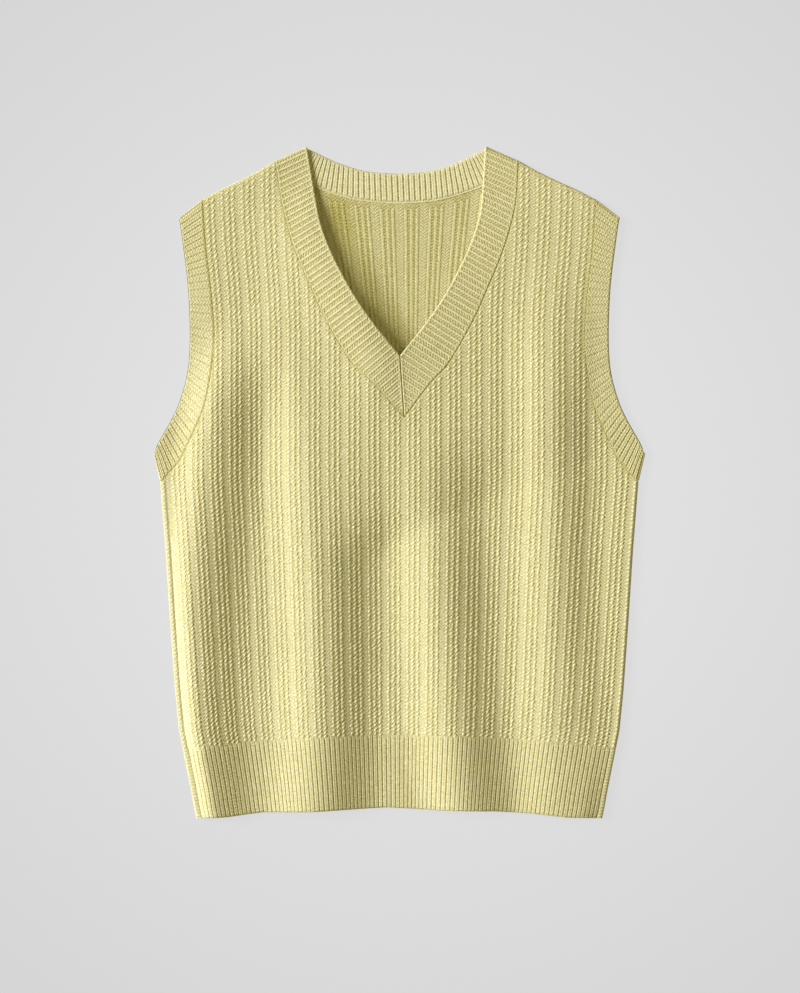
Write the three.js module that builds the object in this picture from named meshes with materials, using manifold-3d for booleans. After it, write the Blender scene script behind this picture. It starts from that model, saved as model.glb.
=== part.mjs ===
// A V-neck knitted sweater vest, laid flat with its front up. Millimetres.
// x runs across the vest, y up it from the hem to the neck, z up from the surface it lies on.
// Heights in the tables are "up", above the hem's lowest corner. "half" is a distance from the centre line.
import * as THREE from "three";
import { mergeVertices } from "three/addons/utils/BufferGeometryUtils.js";
import Module from "manifold-3d";

const wasm = await Module();
wasm.setup();

// Driving sizes
const LENGTH = 672.4; // from the hem's corners to the top of the neckband
const WALL = 2; // the knit between its raised stitches
const LAYER_GAP = 1; // between the back's wall and the front's
const RIB = 1; // how far the raised stitches stand out
const WELT_RIB = 0.8; // the same on the welt
const INNER_RIB = 0.7; // the same on the inside of the back
const SEAM = 0.3; // between two pieces at a seam
const LIP = 5.5; // how far a folded edge turns onto the other layer
const ROLL = WALL + LAYER_GAP / 2; // outer radius of a folded edge
const MID = ROLL; // height of the plane between the two layers
const FRONT_UNDER = WALL + LAYER_GAP;
const FRONT_TOP = FRONT_UNDER + WALL;
const GROUP_PITCH = 19.8; // one group of three raised columns and its recessed strip
const GROUP_CENTRE = -5.9; // the middle column of the group at the centre line
const WELT_RIBS = 95;
const BAND_REPEATS = 30; // pairs of ribs up the front of an armhole band
const NECK_RIBS = 50; // ribs up each side of the V
const BACK_NECK_RIBS = 38;
const INNER_PITCH = 24.5; // one repeat of the ridges on the inside of the back
const INNER_REACH = 98; // how far from the centre line those ridges are seen
const NECK_LIFT = 7; // how far the V's edge stands off the back
const FAR = 60; // above and below every surface, for the blocks that cut pieces apart
const OUTSIDE = 320; // past the vest's edges, the same
const PAST_ENDS = 50; // past the hem and the neck, the same

// Half width of the body at its side edges
const SIDE_EDGE = [
  { up: 0, half: 203 },
  { up: 8, half: 205 },
  { up: 28, half: 208.5 },
  { up: 58, half: 214.5 },
  { up: 88, half: 220.5 },
  { up: 128, half: 224.5 },
  { up: 198, half: 229.5 },
  { up: 268, half: 234 },
  { up: 338, half: 239.5 },
  { up: 366, half: 246.8 },
];

// The shoulder's folded edge, from the armhole to the neck
const SHOULDER_EDGE = [
  { half: 221.5, up: 601 },
  { half: 213, up: 608 },
  { half: 199, up: 618 },
  { half: 181, up: 628 },
  { half: 159, up: 638 },
  { half: 139, up: 648 },
  { half: 122, up: 658 },
  { half: 100, up: 668 },
  { half: 90, up: 672.5 },
];

const UNDERARM_UP = 338; // the knit narrows below here
const CHEST_UP = 483.5; // and it widens again above here, where the armholes come closest

// Armhole band: where it is linked on, and its free edge, from the underarm to the shoulder
const ARM_SEAM = [
  { half: 237, up: 337.9 },
  { half: 229, up: 348.5 },
  { half: 212, up: 374.5 },
  { half: 202, up: 395.5 },
  { half: 194.3, up: 415.5 },
  { half: 187, up: 455 },
  { half: 185, up: 483.5 },
  { half: 188, up: 526.5 },
  { half: 193.5, up: 572.5 },
  { half: 196.6, up: 616.4 },
];
const ARM_EDGE = [
  { half: 244.4, up: 366.2 },
  { half: 241.5, up: 375 },
  { half: 228.5, up: 398 },
  { half: 219.5, up: 418 },
  { half: 211.7, up: 448 },
  { half: 209.5, up: 484 },
  { half: 211.5, up: 532 },
  { half: 217, up: 578 },
  { half: 220.1, up: 598.9 },
];

// Neckband: where it is linked on, and its free edge, from the V to the shoulder on the front
const NECK_SEAM = [
  { half: 0, up: 401 },
  { half: 27.8, up: 434.5 },
  { half: 49, up: 456.5 },
  { half: 73.2, up: 497.5 },
  { half: 88.3, up: 530.5 },
  { half: 99.9, up: 557.5 },
  { half: 109.7, up: 585.5 },
  { half: 117.1, up: 616.5 },
  { half: 121.3, up: 655.3 },
];
const NECK_EDGE = [
  { half: 0, up: 463 },
  { half: 9.3, up: 474.5 },
  { half: 27.5, up: 497.5 },
  { half: 44.5, up: 522.5 },
  { half: 58.4, up: 547.5 },
  { half: 69, up: 569.5 },
  { half: 77.7, up: 593.5 },
  { half: 82.5, up: 617 },
  { half: 88.7, up: 670 },
];
// The same from the shoulder to the centre of the back
const BACK_NECK_SEAM = [
  { half: 121.3, up: 655.3 },
  { half: 104, up: 644 },
  { half: 86, up: 633.5 },
  { half: 57, up: 623.2 },
  { half: 32, up: 617.8 },
  { half: 0, up: 615.8 },
];
const BACK_NECK_EDGE = [
  { half: 88.7, up: 670 },
  { half: 80, up: 666 },
  { half: 70, up: 661 },
  { half: 57, up: 655.3 },
  { half: 32, up: 647.8 },
  { half: 0, up: 645.4 },
];
const MITRE_RUN = 41; // how far up the neck seam the mitre at the V reaches

// The neck lies a little askew: how far its middle is from the centre line
const NECK_CENTRE = [
  { up: 401, shift: 5 },
  { up: 463, shift: 0.7 },
  { up: 560, shift: 0 },
  { up: 618, shift: -0.4 },
  { up: 657, shift: -2.2 },
  { up: 672, shift: -3.2 },
];

// Hem edge and the welt's top edge
const HEM = [
  { across: -205, up: 0 },
  { across: -173, up: 1.6 },
  { across: -138, up: 6 },
  { across: -90, up: 7 },
  { across: -13, up: 11 },
  { across: 40, up: 8.4 },
  { across: 97, up: 7.2 },
  { across: 135, up: 4.8 },
  { across: 170, up: 1 },
  { across: 205, up: 0 },
];
const WELT_TOP = { middle: 83.5, side: 70, half: 217 };

// Soft folds of the front: the crest's line from its upper to its lower end, how far the fold spreads to
// the left and the right of it, its height, and where it dies out upwards
const FOLDS = [
  { topX: -180, topUp: 428, lowX: -201, lowUp: 88, left: 30, right: 58, height: 10, full: 380, gone: 500 },
  { topX: -84, topUp: 338, lowX: -72, lowUp: 88, left: 62, right: 66, height: 11.5, full: 260, gone: 440 },
  { topX: 38, topUp: 388, lowX: 52, lowUp: 113, left: 54, right: 56, height: 10.5, full: 290, gone: 450 },
  { topX: 140, topUp: 588, lowX: 158, lowUp: 113, left: 50, right: 42, height: 8, full: 420, gone: 610 },
];
const EDGE_FADE = { side: 26, shoulder: 70 };
const NECK_SPREAD = 52; // how far from its edge the V's lift dies out
const NECK_FADE = 130; // how far below the shoulder it has its full height

// Heights of the knit across one repeat, as offsets from its middle and shares of the full height
const GROUP_PROFILE = [
  { offset: -7.9, height: 0 },
  { offset: -5.3, height: 1 },
  { offset: -2.7, height: 0.35 },
  { offset: 0, height: 1 },
  { offset: 2.7, height: 0.35 },
  { offset: 5.3, height: 1 },
  { offset: 7.9, height: 0 },
];
const WELT_PROFILE = [
  { offset: -0.25, height: 0 },
  { offset: 0.25, height: 1 },
];
const INNER_PROFILE = [
  { offset: -6.6, height: 0 },
  { offset: -5, height: 1 },
  { offset: -3.2, height: 0.2 },
  { offset: 3.2, height: 0.2 },
  { offset: 5, height: 1 },
  { offset: 6.6, height: 0 },
];
const BAND_PROFILE = [
  { offset: 0, height: 0 },
  { offset: 0.42, height: 0 },
  { offset: 0.56, height: 1 },
  { offset: 0.71, height: 0.45 },
  { offset: 0.86, height: 1 },
];

// Rows up the body and up the welt at which the knit's surface is worked out
const BODY_ROWS = [80, 120, 165, 210, 255, 300, 340, 385, 435, 484, 535, 585, 630, 700];
const WELT_ROWS = [5, 42, 80];
const UNDER_STEP = 12; // spacing of the plain inner surface's points
const NECK_ROWS = [380, 460, 540, 640];

const COLOUR = { front: 0xcfc78e, back: 0xb9b078, rib: 0xd3cb92 };

// Smooth and straight interpolation

function smoothstep(value) {
  const t = THREE.MathUtils.clamp(value, 0, 1);
  return t * t * (3 - 2 * t);
}

// The value of a table's column at a place, straight between its rows.
function lookUp(rows, key, column, at) {
  const rising = rows[0][key] < rows[rows.length - 1][key];
  const sorted = rising ? rows : [...rows].reverse();
  if (at <= sorted[0][key]) return sorted[0][column];
  for (let i = 1; i < sorted.length; i++) {
    const [a, b] = [sorted[i - 1], sorted[i]];
    if (at <= b[key]) return THREE.MathUtils.mapLinear(at, a[key], b[key], a[column], b[column]);
  }
  return sorted[sorted.length - 1][column];
}

const sideHalf = (up) => lookUp(SIDE_EDGE, "up", "half", up);
const shoulderUp = (half) => lookUp(SHOULDER_EDGE, "half", "up", half);
const neckShift = (up) => lookUp(NECK_CENTRE, "up", "shift", up);
const hemUp = (x) => lookUp(HEM, "across", "up", x);
const weltTop = (x) =>
  WELT_TOP.side + (WELT_TOP.middle - WELT_TOP.side) * (1 - (x / WELT_TOP.half) ** 2);

// A curve through a table's rows, on the right side (1) or the left (-1) of the vest.
function curve(rows, side, shifted) {
  const points = rows.map(
    (row) => new THREE.Vector2(side * row.half + (shifted ? neckShift(row.up) : 0), row.up),
  );
  return new THREE.SplineCurve(points);
}

// The front's lift off the back

// A fold's height at a point: a rounded crest that falls to nothing at its own spread on each side.
function foldHeight(fold, x, up) {
  const crest = THREE.MathUtils.mapLinear(up, fold.lowUp, fold.topUp, fold.lowX, fold.topX);
  const spread = x < crest ? fold.left : fold.right;
  const away = Math.min(Math.abs(x - crest) / spread, 1);
  const rise = 0.5 + 0.5 * Math.cos(Math.PI * away);
  return fold.height * rise * smoothstep((fold.gone - up) / (fold.gone - fold.full));
}

// How far the V's edge lifts the front at a point.
function neckHeight(x, up) {
  const tip = NECK_EDGE[0].up;
  const out = Math.abs(x - neckShift(up));
  const away =
    up > tip ? Math.max(out - lookUp(NECK_EDGE, "up", "half", up), 0) : Math.hypot(out, tip - up);
  const below = (shoulderUp(Math.abs(x)) - up) / NECK_FADE;
  return NECK_LIFT * Math.exp(-((away / NECK_SPREAD) ** 2)) * smoothstep(below);
}

function lift(x, up) {
  const folds = FOLDS.reduce((sum, fold) => sum + foldHeight(fold, x, up), 0);
  const inFromSide = (sideHalf(up) - LIP - SEAM - Math.abs(x)) / EDGE_FADE.side;
  const inFromShoulder = (shoulderUp(Math.abs(x)) - ROLL - up) / EDGE_FADE.shoulder;
  const held = smoothstep(inFromSide) * smoothstep(inFromShoulder);
  return (folds + neckHeight(x, up)) * held;
}

// Closed meshes

// A mesh from its points and triangles, with its faces turned outwards.
function closed(points, faces) {
  let volume = 0;
  const cross = new THREE.Vector3();
  for (const [a, b, c] of faces) volume += points[a].dot(cross.crossVectors(points[b], points[c]));
  const index = volume < 0 ? faces.map(([a, b, c]) => [a, c, b]) : faces;
  return new THREE.BufferGeometry().setFromPoints(points).setIndex(index.flat());
}

// Triangles between two lines of points that run side by side, each at its own spacing.
function zip(upper, lower, points) {
  const faces = [];
  let [i, j] = [0, 0];
  while (i < upper.length - 1 || j < lower.length - 1) {
    const nextUpper = i < upper.length - 1 ? points[upper[i + 1]].x : Infinity;
    const nextLower = j < lower.length - 1 ? points[lower[j + 1]].x : Infinity;
    if (nextUpper <= nextLower) {
      faces.push([upper[i], lower[j], upper[i + 1]]);
      i += 1;
    } else {
      faces.push([upper[i], lower[j], lower[j + 1]]);
      j += 1;
    }
  }
  return faces;
}

// The triangles of a grid of points that is so many columns wide, seen from above.
function gridFaces(wide, high, first) {
  const faces = [];
  for (let j = 0; j < high - 1; j++)
    for (let i = 0; i < wide - 1; i++) {
      const a = first + j * wide + i;
      faces.push([a, a + 1, a + wide + 1], [a, a + wide + 1, a + wide]);
    }
  return faces;
}

// A layer between an outer and an inner surface, each given as rows of points. Both have the same
// number of rows, and the inner one may have fewer columns.
function layerBetween(outer, inner) {
  const [high, wide, few] = [outer.length, outer[0].length, inner[0].length];
  const points = [...outer.flat(), ...inner.flat()];
  const level = wide * high;
  const row = (j, count, first) => Array.from({ length: count }, (_, i) => first + j * count + i);
  const flip = (faces) => faces.map(([a, b, c]) => [a, c, b]);
  const faces = [...gridFaces(wide, high, 0), ...flip(gridFaces(few, high, level))];
  faces.push(...zip(row(0, wide, 0), row(0, few, level), points));
  faces.push(...flip(zip(row(high - 1, wide, 0), row(high - 1, few, level), points)));
  for (let j = 0; j < high - 1; j++) {
    const [left, leftUnder] = [j * wide, level + j * few];
    const [right, rightUnder] = [left + wide - 1, leftUnder + few - 1];
    faces.push([left, left + wide, leftUnder + few], [left, leftUnder + few, leftUnder]);
    faces.push([right, rightUnder + few, right + wide], [right, rightUnder, rightUnder + few]);
  }
  return closed(points, faces);
}

// A flat outline carried straight up from one height to another.
function prism(points, low = -FAR, high = FAR) {
  const sides = { depth: high - low, bevelEnabled: false };
  return new THREE.ExtrudeGeometry(new THREE.Shape(points), sides).translate(0, 0, low);
}

// A strip from its cross-sections: a ring, or open with its ends closed over the given flat section.
function strip(sections, flat) {
  const count = sections[0].length;
  const faces = [];
  const last = flat ? sections.length - 1 : sections.length;
  for (let i = 0; i < last; i++)
    for (let k = 0; k < count; k++) {
      const [here, next] = [i * count, ((i + 1) % sections.length) * count];
      const around = (k + 1) % count;
      faces.push([here + k, here + around, next + around], [here + k, next + around, next + k]);
    }
  if (flat) {
    const wound = THREE.ShapeUtils.isClockWise(flat) ? -1 : 1;
    const end = (sections.length - 1) * count;
    for (const [a, b, c] of THREE.ShapeUtils.triangulateShape(flat, [])) {
      const [p, q] = wound > 0 ? [b, c] : [c, b];
      faces.push([a, q, p], [end + a, end + p, end + q]);
    }
  }
  return closed(sections.flat(), faces);
}

// Solids to cut and join, and back

function solid(geometry) {
  const bare = new THREE.BufferGeometry().setAttribute("position", geometry.getAttribute("position"));
  if (geometry.index) bare.setIndex(geometry.index);
  const merged = mergeVertices(bare, 1e-4);
  const vertProperties = merged.getAttribute("position").array;
  const triVerts = new Uint32Array(merged.index.array);
  return new wasm.Manifold(new wasm.Mesh({ numProp: 3, vertProperties, triVerts }));
}

function geometryOf(made) {
  const { vertProperties, triVerts } = made.getMesh();
  return new THREE.BufferGeometry()
    .setAttribute("position", new THREE.BufferAttribute(vertProperties, 3))
    .setIndex(new THREE.BufferAttribute(triVerts, 1));
}

// Steps from one number to another, both included.
function steps(from, to, size) {
  const count = Math.ceil((to - from) / size);
  return Array.from({ length: count + 1 }, (_, i) => from + ((to - from) * i) / count);
}

// Columns across a repeated knit, each with its place and its share of the raised height.
function knitColumns(profile, pitch, middle, reach) {
  const columns = [];
  const unit = profile === WELT_PROFILE ? pitch : 1;
  for (let n = Math.floor((-reach - middle) / pitch) - 1; middle + n * pitch < reach + pitch; n++)
    for (const { offset, height } of profile)
      columns.push({ across: middle + n * pitch + offset * unit, height });
  return columns;
}

// How much wider the knit is at a height than where its columns are counted.
function bodySpread(up) {
  if (up < UNDERARM_UP) return (sideHalf(up) - LIP) / (sideHalf(UNDERARM_UP) - LIP);
  const chest = lookUp(ARM_SEAM, "up", "half", CHEST_UP);
  return up < CHEST_UP ? 1 : lookUp(ARM_SEAM, "up", "half", up) / chest;
}

// Outlines that cut the pieces apart

// Points along a curve, moved sideways by the seam's gap.
function besideCurve(path, count, gap) {
  return Array.from({ length: count + 1 }, (_, i) => {
    const point = path.getPointAt(i / count);
    const along = path.getTangentAt(i / count);
    return point.add(new THREE.Vector2(along.y, -along.x).multiplyScalar(gap));
  });
}

// The direction out of the garment at a fold, square to the line between its two ends.
function outOf(seam, edge, side) {
  const line = edge.clone().sub(seam).normalize();
  const out = new THREE.Vector2(line.y, -line.x);
  return Math.sign(out.x) === side ? out : out.negate();
}

const CUT_STEPS = 34;
const LINE_STEP = 20; // spacing of points along a line across the vest
const CUT_REACH = 14; // how far a cut runs on past a folded edge

function armholeCut(side) {
  const [seam, edge] = [curve(ARM_SEAM, side), curve(ARM_EDGE, side)];
  const points = besideCurve(seam, CUT_STEPS, -side * SEAM);
  const low = outOf(seam.getPoint(0), edge.getPoint(0), side).multiplyScalar(CUT_REACH);
  const high = outOf(seam.getPoint(1), edge.getPoint(1), side).multiplyScalar(CUT_REACH);
  const outer = side * OUTSIDE;
  const [first, final] = [points[0], points[points.length - 1]];
  const round = [
    final.clone().add(high),
    new THREE.Vector2(outer, final.y + CUT_REACH),
    new THREE.Vector2(outer, first.y - CUT_REACH / 3),
    first.clone().add(low),
  ];
  return solid(prism([...points, ...round]));
}

function neckCut(seamRows, edgeRows) {
  const sides = [1, -1].map((side) => {
    const [seam, edge] = [curve(seamRows, side, true), curve(edgeRows, side, true)];
    const down = seamRows[0].up > seamRows[seamRows.length - 1].up;
    const points = besideCurve(seam, CUT_STEPS, (down ? -1 : 1) * side * SEAM);
    const rising = down ? points.reverse() : points;
    const fold = down ? 0 : 1;
    const out = outOf(seam.getPoint(fold), edge.getPoint(fold), side).multiplyScalar(CUT_REACH);
    rising.push(rising[rising.length - 1].clone().add(out));
    rising.push(new THREE.Vector2(rising[rising.length - 1].x, LENGTH + CUT_REACH));
    return rising;
  });
  return solid(prism([...sides[0], ...sides[1].reverse()]));
}

// The folded edges, from the hem to the underarm and from the armhole to the neck.
function sidePath(side) {
  const past = { up: -10, half: SIDE_EDGE[0].half };
  return [past, ...SIDE_EDGE].map(({ half, up }) => new THREE.Vector2(side * half, up));
}

function shoulderPath(side) {
  return SHOULDER_EDGE.map(({ half, up }) => new THREE.Vector2(side * half + neckShift(up), up));
}

// The unit direction into the garment at each point of a folded edge.
function intoGarment(path, side) {
  return path.map((_, i) => {
    const before = path[Math.max(i - 1, 0)];
    const after = path[Math.min(i + 1, path.length - 1)];
    const along = after.clone().sub(before).normalize();
    return new THREE.Vector2(-along.y, along.x).multiplyScalar(side);
  });
}

function inset(path, side, distance) {
  const into = intoGarment(path, side);
  return path.map((point, i) => point.clone().addScaledVector(into[i], distance));
}

// The body's outline, in from its side edges and its shoulder edges.
function bodyOutline(inFromSide, inFromShoulder, low, high) {
  const sides = [1, -1].map((side) => [
    ...inset(sidePath(side), side, inFromSide),
    ...inset(shoulderPath(side), side, inFromShoulder),
  ]);
  return solid(prism([...sides[0], ...sides[1].reverse()], low, high));
}

// The part of the plan above or below the line where the welt begins.
function weltSide(above) {
  const gap = ((above ? 1 : -1) * SEAM) / 2;
  const past = above ? LENGTH + PAST_ENDS : -PAST_ENDS;
  return planSide((x) => weltTop(Math.min(Math.abs(x), WELT_TOP.half)) + gap, past);
}

// The part of the plan between a line across the vest and a height past it.
function planSide(lineUp, past) {
  const line = steps(-OUTSIDE, OUTSIDE, LINE_STEP).map((x) => new THREE.Vector2(x, lineUp(x)));
  return solid(prism([...line, new THREE.Vector2(OUTSIDE, past), new THREE.Vector2(-OUTSIDE, past)]));
}

// Folded edges

// Section of a folded edge as distances in from the outline and heights: this layer runs in a little,
// the wall turns round, and its lip lies on the other layer.
function rollSection(backDown) {
  const turn = (radius) =>
    steps(0, 1, 0.25).map((t) => {
      const angle = Math.PI * (0.5 - t);
      return new THREE.Vector2(ROLL - radius * Math.cos(angle), MID + radius * Math.sin(angle));
    });
  const inner = ROLL - WALL;
  const points = [
    new THREE.Vector2(2 * LIP, FRONT_TOP),
    ...turn(ROLL),
    new THREE.Vector2(LIP, 0),
    new THREE.Vector2(LIP, WALL),
    ...turn(inner).reverse(),
    new THREE.Vector2(2 * LIP, FRONT_UNDER),
  ];
  return backDown ? points.map(({ x, y }) => new THREE.Vector2(x, 2 * MID - y)) : points;
}

// A folded edge carried along its path, square to it in plan.
function roll(path, side, backDown) {
  const flat = rollSection(backDown);
  const into = intoGarment(path, side);
  const sections = path.map((point, i) =>
    flat.map(({ x, y }) => new THREE.Vector3(point.x + into[i].x * x, point.y + into[i].y * x, y)),
  );
  return solid(strip(sections, flat));
}

// Panels

// The front's knit between its raised outer surface and its plain inner one. Its first and last rows
// follow the lines lowest(x) and highest(x).
function frontLayer({ columns, rows, raise, spread, lowest, highest }) {
  const place = (row, across, z) => {
    const x = across * spread(row);
    const low = row === rows[0] ? lowest(x) : row;
    const up = row === rows[rows.length - 1] ? highest(x) : low;
    return new THREE.Vector3(x, up, z + lift(x, up));
  };
  const inner = steps(columns[0].across, columns[columns.length - 1].across, UNDER_STEP);
  const outerRows = rows.map((row) =>
    columns.map(({ across, height }) => place(row, across, FRONT_TOP + raise * height)),
  );
  const innerRows = rows.map((row) => inner.map((across) => place(row, across, FRONT_UNDER)));
  return solid(layerBetween(outerRows, innerRows));
}

function cutArmholes(body, cuts) {
  return cuts.arms.reduce((rest, cut) => rest.subtract(cut), body);
}

function frontPanel(cuts) {
  const reach = SIDE_EDGE[SIDE_EDGE.length - 1].half;
  const columns = knitColumns(GROUP_PROFILE, GROUP_PITCH, GROUP_CENTRE, reach);
  const layer = frontLayer({
    columns,
    rows: BODY_ROWS,
    raise: RIB,
    spread: bodySpread,
    lowest: (x) => weltTop(x) + SEAM / 2,
    highest: () => BODY_ROWS[BODY_ROWS.length - 1],
  }).intersect(bodyOutline(LIP + SEAM, 2 * ROLL));
  const body = [1, -1].reduce((whole, side) => whole.add(roll(shoulderPath(side), side, false)), layer);
  return cutArmholes(body.subtract(cuts.frontNeck), cuts);
}

function frontWelt(cuts) {
  const half = (up) => sideHalf(up) - LIP;
  const middle = WELT_ROWS[1];
  const layer = frontLayer({
    columns: knitColumns(WELT_PROFILE, (2 * half(middle)) / WELT_RIBS, 0, half(middle)),
    rows: WELT_ROWS,
    raise: WELT_RIB,
    spread: (up) => half(up) / half(middle),
    lowest: hemUp,
    highest: (x) => weltTop(x) - SEAM / 2,
  });
  return layer.intersect(bodyOutline(LIP + SEAM, 2 * ROLL));
}

// The back's flat layer with its side edges folded up onto the front, before it is cut at its seams.
function backLayer() {
  const layer = bodyOutline(2 * ROLL, LIP + SEAM, 0, WALL);
  return [1, -1].reduce((whole, side) => whole.add(roll(sidePath(side), side, true)), layer);
}

// Ridges on the inside of the back, where the neck shows it.
function innerRidges() {
  const columns = knitColumns(INNER_PROFILE, INNER_PITCH, 0, INNER_REACH);
  const ends = [columns[0], columns[columns.length - 1]];
  const ridged = NECK_ROWS.map((up) =>
    columns.map(({ across, height }) => new THREE.Vector3(across, up, WALL + INNER_RIB * height)),
  );
  const plain = NECK_ROWS.map((up) => ends.map(({ across }) => new THREE.Vector3(across, up, WALL / 2)));
  return solid(layerBetween(ridged, plain)).intersect(insideNeck());
}

// The plan inside the V, and a little way under the neckband.
function insideNeck() {
  const under = 8;
  const count = 12;
  const sides = [1, -1].map((side) => besideCurve(curve(NECK_EDGE, side, true), count, side * under));
  return solid(prism([...sides[0], ...sides[1].reverse()]));
}

function backPanel(cuts) {
  const body = backLayer().add(innerRidges()).subtract(cuts.backNeck);
  return cutArmholes(body, cuts).intersect(cuts.aboveWelt);
}

function backWelt(cuts) {
  return backLayer().intersect(cuts.belowWelt).intersect(cuts.aboveHem);
}

// Bands

// A band's cross-section at one place. Its wall lies on the front at a turn of 90 degrees, stands at
// the folded edge at 0 and lies under the back at -90.
function bandSection({ seam, edge, out, turn, rib, innerRib }) {
  const angle = THREE.MathUtils.degToRad(turn);
  const [flatShare, upShare] = [Math.cos(angle), Math.sin(angle)];
  const corner = (point, radius) => {
    const raised = lift(point.x, point.y) * Math.max(upShare, 0);
    return new THREE.Vector3(
      point.x + out.x * flatShare * radius,
      point.y + out.y * flatShare * radius,
      MID + upShare * radius + raised,
    );
  };
  const [inside, outside] = [LAYER_GAP / 2 - innerRib, ROLL + rib];
  return [corner(seam, inside), corner(edge, inside), corner(edge, outside), corner(seam, outside)];
}

// The sections round a folded edge, between two ends of a band.
function bandFold(seam, edge, side, turns) {
  const out = outOf(seam, edge, side);
  return turns.map((turn) => bandSection({ seam, edge, out, turn, rib: 0, innerRib: 0 }));
}

const FOLD_TURNS = [60, 30, 0, -30, -60];
const NO_TURN = new THREE.Vector2(0, 0);
const UNDER_BAND_STEPS = 12;
const HIDDEN_SHARE = 0.15; // how much of each half of the back neckband lies under the front

function armband(side) {
  const [seam, edge] = [curve(ARM_SEAM, side), curve(ARM_EDGE, side)];
  const at = (share, turn, rib) => {
    const [s, e] = [seam.getPointAt(share), edge.getPointAt(share)];
    return bandSection({ seam: s, edge: e, out: NO_TURN, turn, rib, innerRib: 0 });
  };
  const front = [];
  for (let n = 0; n < BAND_REPEATS; n++)
    for (const { offset, height } of BAND_PROFILE)
      front.push(at((n + offset) / BAND_REPEATS, 90, RIB * height));
  const back = steps(0, 1, 1 / UNDER_BAND_STEPS).map((share) => at(1 - share, -90, 0));
  const overShoulder = bandFold(seam.getPointAt(1), edge.getPointAt(1), side, FOLD_TURNS);
  const overUnderarm = bandFold(seam.getPointAt(0), edge.getPointAt(0), side, [...FOLD_TURNS].reverse());
  return strip([...front, at(1, 90, 0), ...overShoulder, ...back, ...overUnderarm]);
}

// One side of the V, from the mitre to the shoulder: each rib is square to the neck seam, and the
// lowest ones end on the mitre.
function neckSide(side) {
  const [seam, edge] = [curve(NECK_SEAM, side, true), curve(NECK_EDGE, side, true)];
  const mitreShare = MITRE_RUN / seam.getLength(); // of the way along the seam
  const gap = new THREE.Vector2((side * SEAM) / 2, 0);
  const [low, tip] = [seam.getPointAt(0).add(gap), edge.getPointAt(0).add(gap)];
  const sections = [];
  for (let n = 1; n < 2 * NECK_RIBS; n++) {
    const share = n / (2 * NECK_RIBS);
    const onMitre = share < mitreShare;
    const s = seam.getPointAt(share);
    const e = onMitre
      ? low.clone().lerp(tip, share / mitreShare)
      : edge.getPointAt((share - mitreShare) / (1 - mitreShare)).add(gap.clone().multiplyScalar(1 - share));
    const rib = RIB * (n % 2);
    sections.push(bandSection({ seam: s, edge: e, out: NO_TURN, turn: 90, rib, innerRib: 0 }));
  }
  const [s, e] = [seam.getPointAt(1), edge.getPointAt(1)];
  sections.push(bandSection({ seam: s, edge: e, out: NO_TURN, turn: 90, rib: 0, innerRib: 0 }));
  return { sections, fold: bandFold(s, e, side, FOLD_TURNS) };
}

// The band behind the neck. Its ribs are raised on its upper side, where the front doesn't hide it.
function neckBack() {
  const sides = [-1, 1].map((side) => {
    const [seam, edge] = [curve(BACK_NECK_SEAM, side, true), curve(BACK_NECK_EDGE, side, true)];
    return steps(0, 1, 1 / BACK_NECK_RIBS).map((share, n) => {
      const [s, e] = [seam.getPointAt(share), edge.getPointAt(share)];
      const shown = smoothstep((share - HIDDEN_SHARE) / HIDDEN_SHARE);
      const innerRib = INNER_RIB * shown * (n % 2);
      return bandSection({ seam: s, edge: e, out: NO_TURN, turn: -90, rib: 0, innerRib });
    });
  });
  return [...sides[0], ...sides[1].slice(0, -1).reverse()];
}

function neckband() {
  const [left, right] = [neckSide(-1), neckSide(1)];
  const sections = [
    ...left.sections,
    ...left.fold,
    ...neckBack(),
    ...right.fold.reverse(),
    ...right.sections.reverse(),
  ];
  const square = [
    [0, 0],
    [1, 0],
    [1, 1],
    [0, 1],
  ].map(([x, y]) => new THREE.Vector2(x, y));
  return strip(sections, square);
}

// The vest

const cuts = {
  arms: [armholeCut(1), armholeCut(-1)],
  frontNeck: neckCut(NECK_SEAM, NECK_EDGE),
  backNeck: neckCut(BACK_NECK_SEAM, BACK_NECK_EDGE),
  aboveWelt: weltSide(true),
  belowWelt: weltSide(false),
  aboveHem: planSide(hemUp, LENGTH + PAST_ENDS),
};

const yarn = (color) => new THREE.MeshStandardMaterial({ color, roughness: 0.95, metalness: 0 });

function piece(name, geometry, color) {
  const mesh = new THREE.Mesh(geometry, yarn(color));
  mesh.name = name;
  return mesh;
}

const vest = new THREE.Group();
vest.name = "sweater_vest";
vest.add(piece("front_panel", geometryOf(frontPanel(cuts)), COLOUR.front));
vest.add(piece("back_panel", geometryOf(backPanel(cuts)), COLOUR.back));
vest.add(piece("front_welt", geometryOf(frontWelt(cuts)), COLOUR.rib));
vest.add(piece("back_welt", geometryOf(backWelt(cuts)), COLOUR.back));
vest.add(piece("neckband", neckband(), COLOUR.rib));
vest.add(piece("armband_left", armband(-1), COLOUR.rib));
vest.add(piece("armband_right", armband(1), COLOUR.rib));
vest.position.y = -LENGTH / 2;

export default vest;
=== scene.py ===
"""A V-neck sweater vest in columned knit, laid flat with its front up.

The plan is in millimetres: x runs across the vest, up runs from the hem's lowest corners to the neck, and
z rises from the surface it lies on. Meshes are made from it in metres, in the frame's own place.
"""

from __future__ import annotations

import logging
import math
from collections.abc import Callable
from dataclasses import dataclass, field
from enum import Enum

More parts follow.
